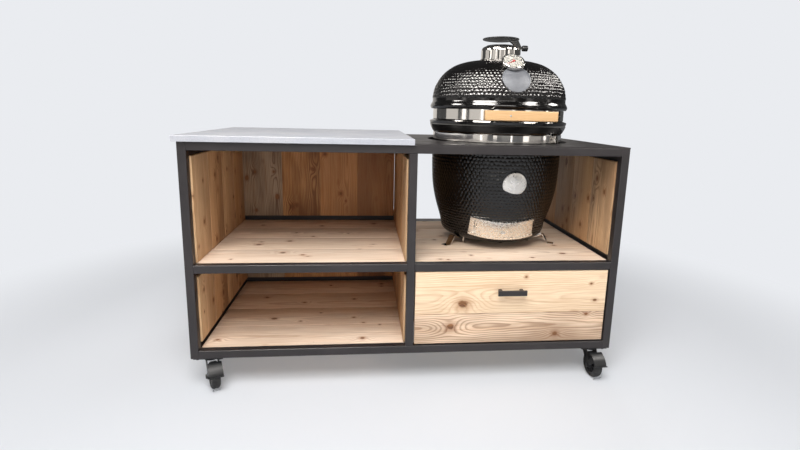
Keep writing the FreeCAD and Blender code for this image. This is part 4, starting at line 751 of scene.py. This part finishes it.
def makeBoards():
    dice = random.Random(timber["seed"])
    for node, name, tones, weathering, ringStrength in boardGroups:
        for i, (low, high) in enumerate(solidBoxes(node)):
            if node == "back_boards":
                # the seams close behind the rounded edges, so no daylight shows through the back
                low.x -= timber["seamFill"] / 2
                high.x += timber["seamFill"] / 2
            board = makeBoard((low, high), dice, f"{name}{i + 1}", timber[tones][i % len(timber[tones])],
                              weathering * dice.uniform(*timber["weatherShare"]), ringStrength)
            settle(board, "table", "boards", node)
    wide, battens = [], []
    for box in solidBoxes("drawer_front"):
        group = wide if box[1].x - box[0].x > drawerFront["shortest"] else battens
        group.append(box)
    front = [makeBoard(wide[0], dice, *drawerFront["lower"]), makeBoard(wide[1], dice, *drawerFront["upper"])]
    name, *look = drawerFront["batten"]
    front += [makeBoard(box, dice, f"{name}{i + 1}", *look) for i, box in enumerate(battens)]
    for board in front:
        settle(board, "drawer", "boards", "drawer_front")
    print("boards made, drawer front:", len(front))


makeBoards()


# Grill shells: turned outlines with small round pebbles in the glaze outside and a plain face inside

shells = {"columns": 832, "coarse": 104, "around": 104, "rowStep": 1.6 * mm, "plainStep": 4 * mm,
          "rowShare": 0.87, "jitter": 0.22, "height": 0.30, "sunk": 2.8 * mm, "round": 0.7,
          "fade": 5 * mm, "bare": 1.5 * mm, "seed": 7, "baseZone": (0.520, 0.909), "domeZone": (1.088, 1.246),
          "window": (0.10, 0.32, 0.552, 0.587), "windowStart": -15.5, "windowSweep": 24.0}
grillCentre = sum(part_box("base_gasket"), Vector()) / 2
# fittings that sit flat on the glaze, with the radius that stays bare under them
bareRounds = [(sum(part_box(name), Vector()) / 2, radius) for name, radius in
              (("base_disc", 52 * mm), ("badge_plate", 55 * mm))]


def pebbleField(outline, zone, dice):
    # how far each place of the grid stands out from the skin, by the size of its pebble
    reach, level = (np.array(values) for values in zip(*outline))
    along = np.concatenate(([0.0], np.cumsum(np.hypot(np.diff(reach), np.diff(level)))))
    around = shells["around"]
    angles = np.arange(shells["columns"]) * math.tau / shells["columns"]
    field = np.zeros((shells["columns"], len(outline)))
    inside = (level > zone[0]) & (level < zone[1])
    middle, last, row = along[inside].min(), along[inside].max(), 0
    while middle < last:
        size = math.pi * float(np.interp(middle, along, reach)) / around
        middle += size * shells["rowShare"]
        shift = dice.uniform(-1.0, 1.0, (2, around)) * shells["jitter"] * size
        places = angles * around / math.tau - 0.5 * (row % 2)
        index = np.round(places).astype(int)
        aside = (places - index) * math.tau / around
        index %= around
        near = np.abs(along - middle) < 2 * size
        across = aside[:, None] * reach[None, near] - shift[0, index][:, None]
        upward = along[None, near] - middle - shift[1, index][:, None]
        away = (across ** 2 + upward ** 2) / size ** 2
        field[:, near] = np.maximum(field[:, near], size * np.clip(1 - away, 0, 1) ** shells["round"])
        middle += size * shells["rowShare"]
        row += 1
    edge = np.clip(np.minimum(level - zone[0], zone[1] - level) / shells["fade"], 0, 1)
    field = (field - shells["sunk"]) * edge[None, :]
    for centre, radius in bareRounds:
        x = grillCentre.x + np.sin(angles)[:, None] * reach[None, :] - centre.x
        y = grillCentre.y - np.cos(angles)[:, None] * reach[None, :] - centre.y
        away = np.sqrt(x ** 2 + y ** 2 + (level[None, :] - centre.z) ** 2)
        field = np.where(away < radius, -shells["bare"], field)
    return field * shells["height"]


def grillPlace(radius, angle, level):
    return grillCentre.x + radius * math.sin(angle), grillCentre.y - radius * math.cos(angle), level


def shellPiece(name, outer, inner, zone, body, node):
    # outer and inner run the same way from the rim, as (radius, height); pebbles stand along the normal
    columns, coarse = shells["columns"], shells["coarse"]
    field = pebbleField(outer, zone, np.random.default_rng(shells["seed"]))
    count, depth, share = len(outer), len(inner), columns // coarse
    vertices, faces = [], []
    for i in range(columns):
        for j, (radius, height) in enumerate(outer):
            before, after = outer[max(j - 1, 0)], outer[min(j + 1, count - 1)]
            along = Vector((after[0] - before[0], after[1] - before[1])).normalized()
            push = field[i, j] * (1.0 if along.y > 0 else -1.0)
            vertices.append(grillPlace(radius + push * along.y, math.tau * i / columns,
                                       height - push * along.x))
    for i in range(columns):
        a, b = i * count, (i + 1) % columns * count
        faces += [(a + j, a + j + 1, b + j + 1, b + j) for j in range(count - 1)]
    first, innerStart = len(vertices), len(faces)
    for i in range(coarse):
        vertices += [grillPlace(radius, math.tau * i / coarse, height) for radius, height in inner]
        a, b = first + i * depth, first + (i + 1) % coarse * depth
        faces += [(b + j, b + j + 1, a + j + 1, a + j) for j in range(depth - 1)]
    innerEnd = len(faces)
    for fine, rim in ((0, 0), (count - 1, depth - 1)):
        for i in range(coarse):
            outside = [((i * share + k) % columns) * count + fine for k in range(share + 1)]
            inside = [first + (i + 1) % coarse * depth + rim, first + i * depth + rim]
            faces.append(tuple(outside + inside) if fine == 0 else tuple((outside + inside)[::-1]))
    piece = newPiece(name, vertices, faces, glaze, 60.0)
    piece.data.materials.append(fireClay)
    for k in range(innerStart, innerEnd):
        piece.data.polygons[k].material_index = 1
    return settle(piece, body, "glazed_shell", node)


def makeBaseShell():
    rim = straightLine([(0.2885, 0.982), (0.2845, 0.971), (0.2775, 0.957), (0.2707, 0.949), (0.2707, 0.919)],
                       shells["plainStep"])
    side = smoothLine([(0.2707, 0.919), (0.2722, 0.883), (0.273, 0.843), (0.272, 0.794), (0.267, 0.722),
                       (0.253, 0.650), (0.231, 0.576), (0.223, 0.538), (0.214, 0.523), (0.206, 0.516),
                       (0.198, 0.5112), (0.190, 0.508)], shells["rowStep"])
    inner = [(0.2465, 0.982), (0.2465, 0.905), (0.245, 0.843), (0.244, 0.794), (0.239, 0.722), (0.225, 0.650),
             (0.203, 0.580), (0.195, 0.548), (0.176, 0.536), (0.012, 0.536)]
    base = shellPiece("baseShell", rim + side[1:] + [Vector((0.012, 0.508))], inner, shells["baseZone"],
                      "table", "base_shell")
    inside, outside, sill, lintel = shells["window"]
    outline = [(inside, sill), (outside, sill), (outside, lintel), (inside, lintel)]
    cut(base, turnedPiece("windowCutter", outline, grillCentre, 12, glaze, 35, shells["windowStart"],
                          shells["windowSweep"]))


def makeDomeShell():
    under = straightLine([(0.2885, 0.988), (0.290, 0.997), (0.2732, 1.004), (0.2732, 1.046)],
                         shells["plainStep"])
    roll = smoothLine([(0.2845, 1.047), (0.2885, 1.056), (0.2865, 1.0645), (0.2825, 1.072), (0.280, 1.078)],
                      shells["rowStep"])
    crown = smoothLine([(0.280, 1.078), (0.2795, 1.091), (0.2775, 1.107), (0.2685, 1.141), (0.2395, 1.187),
                        (0.1965, 1.221), (0.1475, 1.239), (0.086, 1.249)], shells["rowStep"])
    inner = [(0.2465, 0.988), (0.2465, 1.075), (0.2355, 1.127), (0.2055, 1.169), (0.1655, 1.197),
             (0.1195, 1.211), (0.061, 1.222)]
    shellPiece("domeShell", under + roll + crown[1:] + [Vector((0.061, 1.249))], inner,
               shells["domeZone"], "lid", "dome_shell")


makeBaseShell()
makeDomeShell()
print("grill shells made")


# Lid fittings: badge, thermometer dial and glass, and the plug in the handle

gauge = {"side": -8 * mm, "reach": 217 * mm, "level": 1225 * mm, "tilt": 48.0,
         "dialRadius": 39.4 * mm, "dialAt": 2.1 * mm, "dialThick": 0.3 * mm,
         "ticks": 25, "from": -120.0, "to": 120.0, "tickEnd": 37 * mm, "tickRise": 0.08 * mm,
         "longTick": (29 * mm, 0.55 * mm), "shortTick": (33 * mm, 0.3 * mm), "longEvery": 4,
         "labels": ("50", "100", "150", "200", "250", "300", "350"), "labelSize": 6.4 * mm,
         "labelReach": 25.5 * mm, "labelThick": 0.04 * mm, "labelRise": 0.05 * mm,
         "glassRadius": 40.4 * mm, "glassRise": 3.4 * mm, "glassRim": 6.2 * mm, "glassThick": 0.8 * mm,
         "glassInside": 0.975}
gaugeTop = gauge["dialAt"] + gauge["dialThick"]
plug = {"aside": -42 * mm, "radius": 3.6 * mm, "rise": 0.7 * mm}


def leaning(tilt, centre):
    # local Z faces the front, tilt degrees above level
    return Matrix.Translation(centre) @ Matrix.Rotation(math.radians(90.0 - tilt), 4, "X")


gaugePlace = leaning(gauge["tilt"], Vector((grillCentre.x + gauge["side"], grillCentre.y - gauge["reach"],
                                            gauge["level"])))


def sideSum(solid):
    low, high = boxOf(solid[0])
    return sum(high - low)


def makeBadge():
    # the plate's rim and its face, each solid of the CAD node as a piece, the larger one first
    solids = sorted(solidsOf("badge_plate"), key=sideSum, reverse=True)
    for name, material, solid in zip(("badgeRim", "badgeFace"), (castRim, castGrey), solids):
        settle(newPiece(name, *solid, material, 30), "lid", "polished_steel", "badge_plate")


def placeOnGauge(piece):
    piece.data.transform(gaugePlace)
    settle(piece, "lid", "polished_steel")


def dialTurn(share):
    # the outward and the sideways direction at a share of the dial's scale
    angle = math.radians(gauge["from"] + (gauge["to"] - gauge["from"]) * share)
    return heading(math.pi / 2 - angle), heading(-angle)


def makeDial():
    radius, bottom = gauge["dialRadius"], gauge["dialAt"]
    placeOnGauge(turnedPiece("dial", [(0.0, bottom), (radius, bottom), (radius, gaugeTop), (0.0, gaugeTop)],
                             Vector(), 48, dialPrint))
    vertices, faces = [], []
    for i in range(gauge["ticks"]):
        out, side = dialTurn(i / (gauge["ticks"] - 1))
        inner, half = gauge["shortTick" if i % gauge["longEvery"] else "longTick"]
        outer = gauge["tickEnd"]
        faces += boxFaces(len(vertices))
        corners = [out * inner - side * half, out * inner + side * half, out * outer + side * half,
                   out * outer - side * half]
        for height in (gaugeTop, gaugeTop + gauge["tickRise"]):
            vertices += [corner + Vector((0, 0, height)) for corner in corners]
    placeOnGauge(newPiece("dialTicks", vertices, faces, darkInk))
    for i, label in enumerate(gauge["labels"]):
        text = bpy.data.curves.new("dialNumber" + label, "FONT")
        text.body, text.size, text.align_x, text.align_y = label, gauge["labelSize"], "CENTER", "CENTER"
        text.extrude = gauge["labelThick"]
        shape = addObject("numberShape", text)
        mesh = builtMesh(shape)
        bpy.data.objects.remove(shape)
        out, _ = dialTurn(i / (len(gauge["labels"]) - 1))
        mesh.transform(Matrix.Translation(out * gauge["labelReach"]
                                          + Vector((0, 0, gaugeTop + gauge["labelRise"]))))
        mesh.materials.clear()
        mesh.materials.append(darkInk)
        placeOnGauge(addObject("dialNumber" + label, mesh))


def makeGlass():
    rise, radius, rim = gauge["glassRise"], gauge["glassRadius"], gauge["glassRim"]
    outline = [(max(radius * math.cos(a), 0.0), rim + rise * math.sin(a)) for a in
               [math.radians(90 * k / 10) for k in range(11)]]
    inside = [(r * gauge["glassInside"], z - gauge["glassThick"]) for r, z in outline[::-1]]
    placeOnGauge(turnedPiece("gaugeGlass", outline + inside, Vector(), 64, lensGlass, 60))


def studPiece(name, places, radius, rise, material):
    # small domed heads; each place is a centre and the direction it points
    vertices, faces, count = [], [], 16
    rings = [(radius, -0.5 * rise), (radius, 0.0), (radius * 0.8, rise * 0.6), (radius * 0.4, rise * 0.92)]
    for centre, ahead in places:
        turn = ahead.to_track_quat("Z", "Y").to_matrix()
        first = len(vertices)
        for reach, height in rings:
            vertices += [centre + turn @ point for point in ringPoints(reach, height, count)]
        vertices.append(centre + turn @ Vector((0, 0, rise)))
        for level in range(first, first + 3 * count, count):
            faces += bandFaces(level, level + count, count)
        last = first + 3 * count
        faces += [(last + k, last + (k + 1) % count, last + count) for k in range(count)]
        faces.append(tuple(range(first + count - 1, first - 1, -1)))
    return newPiece(name, vertices, faces, material, 50)


def makePlug():
    low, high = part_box("lid_handle")
    place = Vector(((low.x + high.x) / 2 + plug["aside"], low.y, (low.z + high.z) / 2))
    settle(studPiece("handlePlug", [(place, Vector((0, -1, 0)))], plug["radius"], plug["rise"], drawnSteel),
           "lid", "polished_steel")


# Disc on the base: a shallow spun dome with a rolled edge

disc = {"radius": 47.5 * mm, "dome": 7 * mm, "tilt": -10.0, "edge": 1.5 * mm, "back": -8 * mm, "rings": 12,
        "place": (11 * mm, -270 * mm, 760 * mm)}


def makeDisc():
    radius, dome, edge = disc["radius"], disc["dome"], disc["edge"]
    ball = (radius ** 2 + dome ** 2) / (2 * dome)
    outline = []
    for k in range(disc["rings"] + 1):
        reach = (radius - edge) * k / disc["rings"]
        outline.append((reach, math.sqrt(ball ** 2 - reach ** 2) - ball + dome))
    outline += [(radius - 0.3 * edge, outline[-1][1] - 0.3 * edge), (radius, outline[-1][1] - edge),
                (radius, disc["back"]), (0.0, disc["back"])]
    piece = turnedPiece("baseDisc", outline[::-1], Vector(), 72, spunSteel, 40)
    x, y, z = disc["place"]
    piece.matrix_world = leaning(disc["tilt"], Vector((grillCentre.x + x, grillCentre.y + y, z)))
    settle(piece, "table", "polished_steel", "base_disc")


# Draft door: a curved plate with perforations, a pull tab, and rivets on its frame

door = {"azimuth": -3.5, "half": 30.5, "tilt": 20.0, "level": 567.5 * mm, "reach": 231.5 * mm,
        "slope": -0.105, "back": 5.1 * mm, "sheet": 0.8 * mm, "halfHeight": 35.2 * mm, "arris": 0.4 * mm,
        "holes": [(-30.2, 6), (-28.0, 6)], "holeRadius": 1.5 * mm, "holeSides": 14, "holeDepth": 9 * mm,
        "holeShare": 0.6, "tab": (-8 * mm, -5 * mm), "tabReach": 10 * mm, "tabRound": 1 * mm,
        "tabSunk": 0.5 * mm, "tabHalf": 2.0, "rivets": (-34.2, 27.2), "rivetLevel": 35.5 * mm,
        "rivetFace": 7.8 * mm, "rivetRadius": 3.2 * mm, "rivetRise": 1.2 * mm}
doorTurn = math.radians(door["tilt"])
doorPivot = door["level"] + door["reach"] * math.tan(doorTurn)
doorPlace = Matrix.Translation((grillCentre.x, grillCentre.y, doorPivot)) @ Matrix.Rotation(doorTurn, 4, "X")


def doorReach(level, outward):
    # the radius of a place beside the tilted axis, outward from the skin's line
    return door["reach"] / math.cos(doorTurn) + outward + door["slope"] * level


def onDoor(azimuth, level, outward):
    # the place and the direction that leads out of the door there
    ahead = heading(math.radians(azimuth - 90))
    return doorReach(level, outward) * ahead + Vector((0, 0, level)), ahead


def makeHoleCutter():
    vertices, faces, sides = [], [], door["holeSides"]
    for azimuth, count in door["holes"]:
        for i in range(count):
            level = door["halfHeight"] * door["holeShare"] * (2 * i / (count - 1) - 1)
            centre, ahead = onDoor(azimuth, level, 0)
            turn = ahead.to_track_quat("Z", "Y").to_matrix()
            first = len(vertices)
            for depth in (0, door["holeDepth"]):
                vertices += [centre + turn @ point for point in ringPoints(door["holeRadius"], depth, sides)]
            faces += bandFaces(first, first + sides, sides)
            faces += [tuple(range(first + sides - 1, first - 1, -1)),
                      tuple(range(first + sides, first + 2 * sides))]
    return newPiece("holeCutter", vertices, faces, polished)


def makeDoor():
    back, front, half, edge = door["back"], door["back"] + door["sheet"], door["halfHeight"], door["arris"]
    outline = [(doorReach(-half, back), -half), (doorReach(-half, front - edge), -half),
               (doorReach(edge - half, front), edge - half), (doorReach(half - edge, front), half - edge),
               (doorReach(half, front - edge), half), (doorReach(half, back), half)]
    plate = turnedPiece("draftDoorPlate", outline, Vector(), 96, brushedSheet, 30,
                        door["azimuth"] - door["half"], 2 * door["half"])
    cut(plate, makeHoleCutter())
    low, high = door["tab"]
    tip, soft, sunk = front + door["tabReach"], door["tabRound"], door["tabSunk"]
    outline = [(doorReach(low, front) - sunk, low), (doorReach(low, tip) - soft, low),
               (doorReach(low, tip), low + soft), (doorReach(high, tip) - soft, high),
               (doorReach(high, front) - sunk, high)]
    tab = turnedPiece("draftDoorTab", outline, Vector(), 12, polished, 30, door["azimuth"] - door["tabHalf"],
                      2 * door["tabHalf"])
    places = [onDoor(azimuth, level, door["rivetFace"]) for azimuth in door["rivets"]
              for level in (-door["rivetLevel"], door["rivetLevel"])]
    rivets = studPiece("draftFrameRivets", places, door["rivetRadius"], door["rivetRise"], polished)
    for piece in (plate, tab, rivets):
        piece.data.transform(doorPlace)
    settle(plate, "draft_door", "polished_steel", "draft_door")
    settle(tab, "draft_door", "polished_steel", "draft_door")
    settle(rivets, "table", "polished_steel")


# Castors: crowned treads on ribbed hubs, and pedals with a plain moulded frame

castor = {"turns": {"front_left": 26.0, "front_right": 5.0, "rear_left": 20.0, "rear_right": 10.0},
          "radius": 50 * mm, "half": 16 * mm, "crown": 11 * mm, "flat": (0.7 * mm, 1.2 * mm),
          "hub": 36 * mm, "boss": 13 * mm, "bossHalf": 18.6 * mm, "bore": 5.05 * mm, "web": 5 * mm,
          "ribs": 8, "ribHalf": 1.2 * mm, "pedalMiddle": 47.0, "pedalFace": 57 * mm, "frame": 13 * mm,
          "frameBar": 2.6 * mm, "frameRise": 1.2 * mm, "frameSoft": 0.5 * mm, "frameFoot": -0.4 * mm,
          "frameCorners": (4 * mm, 2 * mm)}


def axleFrame(corner):
    # local Z runs along the axle, local X ahead along the fork's trail
    low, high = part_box("castor_wheel_" + corner)
    axle, trail = (heading(math.radians(castor["turns"][corner] - quarter)) for quarter in (0, 90))
    place = Matrix((trail, axle.cross(trail), axle)).transposed().to_4x4()
    return Matrix.Translation((low + high) / 2) @ place


def hubRibs(name):
    boss, hub, web, half, thin = (castor[k] for k in ("boss", "hub", "web", "half", "ribHalf"))
    profile = [(boss - 1 * mm, web - 1 * mm), (hub - 5 * mm, web - 1 * mm), (hub - 5 * mm, half - 5 * mm),
               (boss - 1 * mm, half - 2 * mm)]
    vertices, faces = [], []
    for i in range(castor["ribs"]):
        angle = math.tau * i / castor["ribs"]
        out, across = heading(angle), heading(angle + math.pi / 2)
        for sign in (-1, 1):
            faces += boxFaces(len(vertices))
            for offset in (-thin, thin):
                vertices += [out * r + across * offset + Vector((0, 0, sign * z)) for r, z in profile]
    return newPiece(name, vertices, faces, hubPlastic)


def makeWheel(corner):
    radius, half, hub, crown = (castor[k] for k in ("radius", "half", "hub", "crown"))
    boss, bossHalf, bore, web = (castor[k] for k in ("boss", "bossHalf", "bore", "web"))
    drop, flat = castor["flat"]
    side = [(hub, -half + 1 * mm), (hub + 1 * mm, -half)]
    side += [(radius - crown + crown * math.sin(a), -half + crown - crown * math.cos(a))
             for a in [math.radians(15 * k) for k in range(7)]]
    side.append((radius - drop, -flat))
    tread = turnedPiece("tread_" + corner, side + [(r, -z) for r, z in side[::-1]], Vector(), 72, rubber, 40)
    side = [(bore, bossHalf), (boss - 1.5 * mm, bossHalf), (boss, bossHalf - 1.5 * mm),
            (boss + 1 * mm, web + 1 * mm), (boss + 3 * mm, web), (hub - 7 * mm, web),
            (hub - 5.5 * mm, web + 1.5 * mm), (hub - 5 * mm, half - 4 * mm), (hub - 4 * mm, half - 3 * mm),
            (hub - 0.1 * mm, half - 3 * mm)]
    core = turnedPiece("hub_" + corner, [(r, -z) for r, z in side] + side[::-1], Vector(), 60, hubPlastic, 40)
    for piece in (tread, core, hubRibs("hubRibs_" + corner)):
        piece.data.transform(axleFrame(corner))
        settle(piece, "wheel_" + corner, "castor_wheel", "castor_wheel_" + corner)


def roundedSquare(half, turnRadius, steps=4):
    points = []
    for x, y, start in ((1, 1, 0), (-1, 1, 90), (-1, -1, 180), (1, -1, 270)):
        for k in range(steps + 1):
            angle = math.radians(start + 90 * k / steps)
            points.append((x * (half - turnRadius) + turnRadius * math.cos(angle),
                           y * (half - turnRadius) + turnRadius * math.sin(angle)))
    return points


def makePedalFrame(corner):
    # a raised rounded square, bent with the pedal's face, its middle left plain
    outer, bar, rise, soft, foot = (castor[k] for k in ("frame", "frameBar", "frameRise", "frameSoft",
                                                        "frameFoot"))
    wide, tight = castor["frameCorners"]
    vertices = []
    rims = [(outer, wide, foot), (outer, wide, rise * 0.6), (outer - soft, wide, rise),
            (outer - bar + soft, tight, rise), (outer - bar, tight, rise * 0.6), (outer - bar, tight, foot)]
    for half, turnRadius, height in rims:
        for along, across in roundedSquare(half, turnRadius):
            angle = math.radians(castor["pedalMiddle"]) + along / castor["pedalFace"]
            vertices.append((castor["pedalFace"] + height) * heading(angle) + Vector((0, 0, across)))
    count = len(vertices) // len(rims)
    faces = []
    for i in range(len(rims)):
        faces += bandFaces(i * count, (i + 1) % len(rims) * count, count)
    piece = newPiece("pedalFrame_" + corner, vertices, faces, pedalGrey, 50)
    piece.data.transform(axleFrame(corner))
    settle(piece, "pedal_" + corner, "pedal_plastic")


makeBadge()
makeDial()
makeGlass()
makePlug()
makeDisc()
makeDoor()
for corner in castor["turns"]:
    makeWheel(corner)
for corner in ("front_left", "front_right"):
    makePedalFrame(corner)
print("fittings, door and castors made")
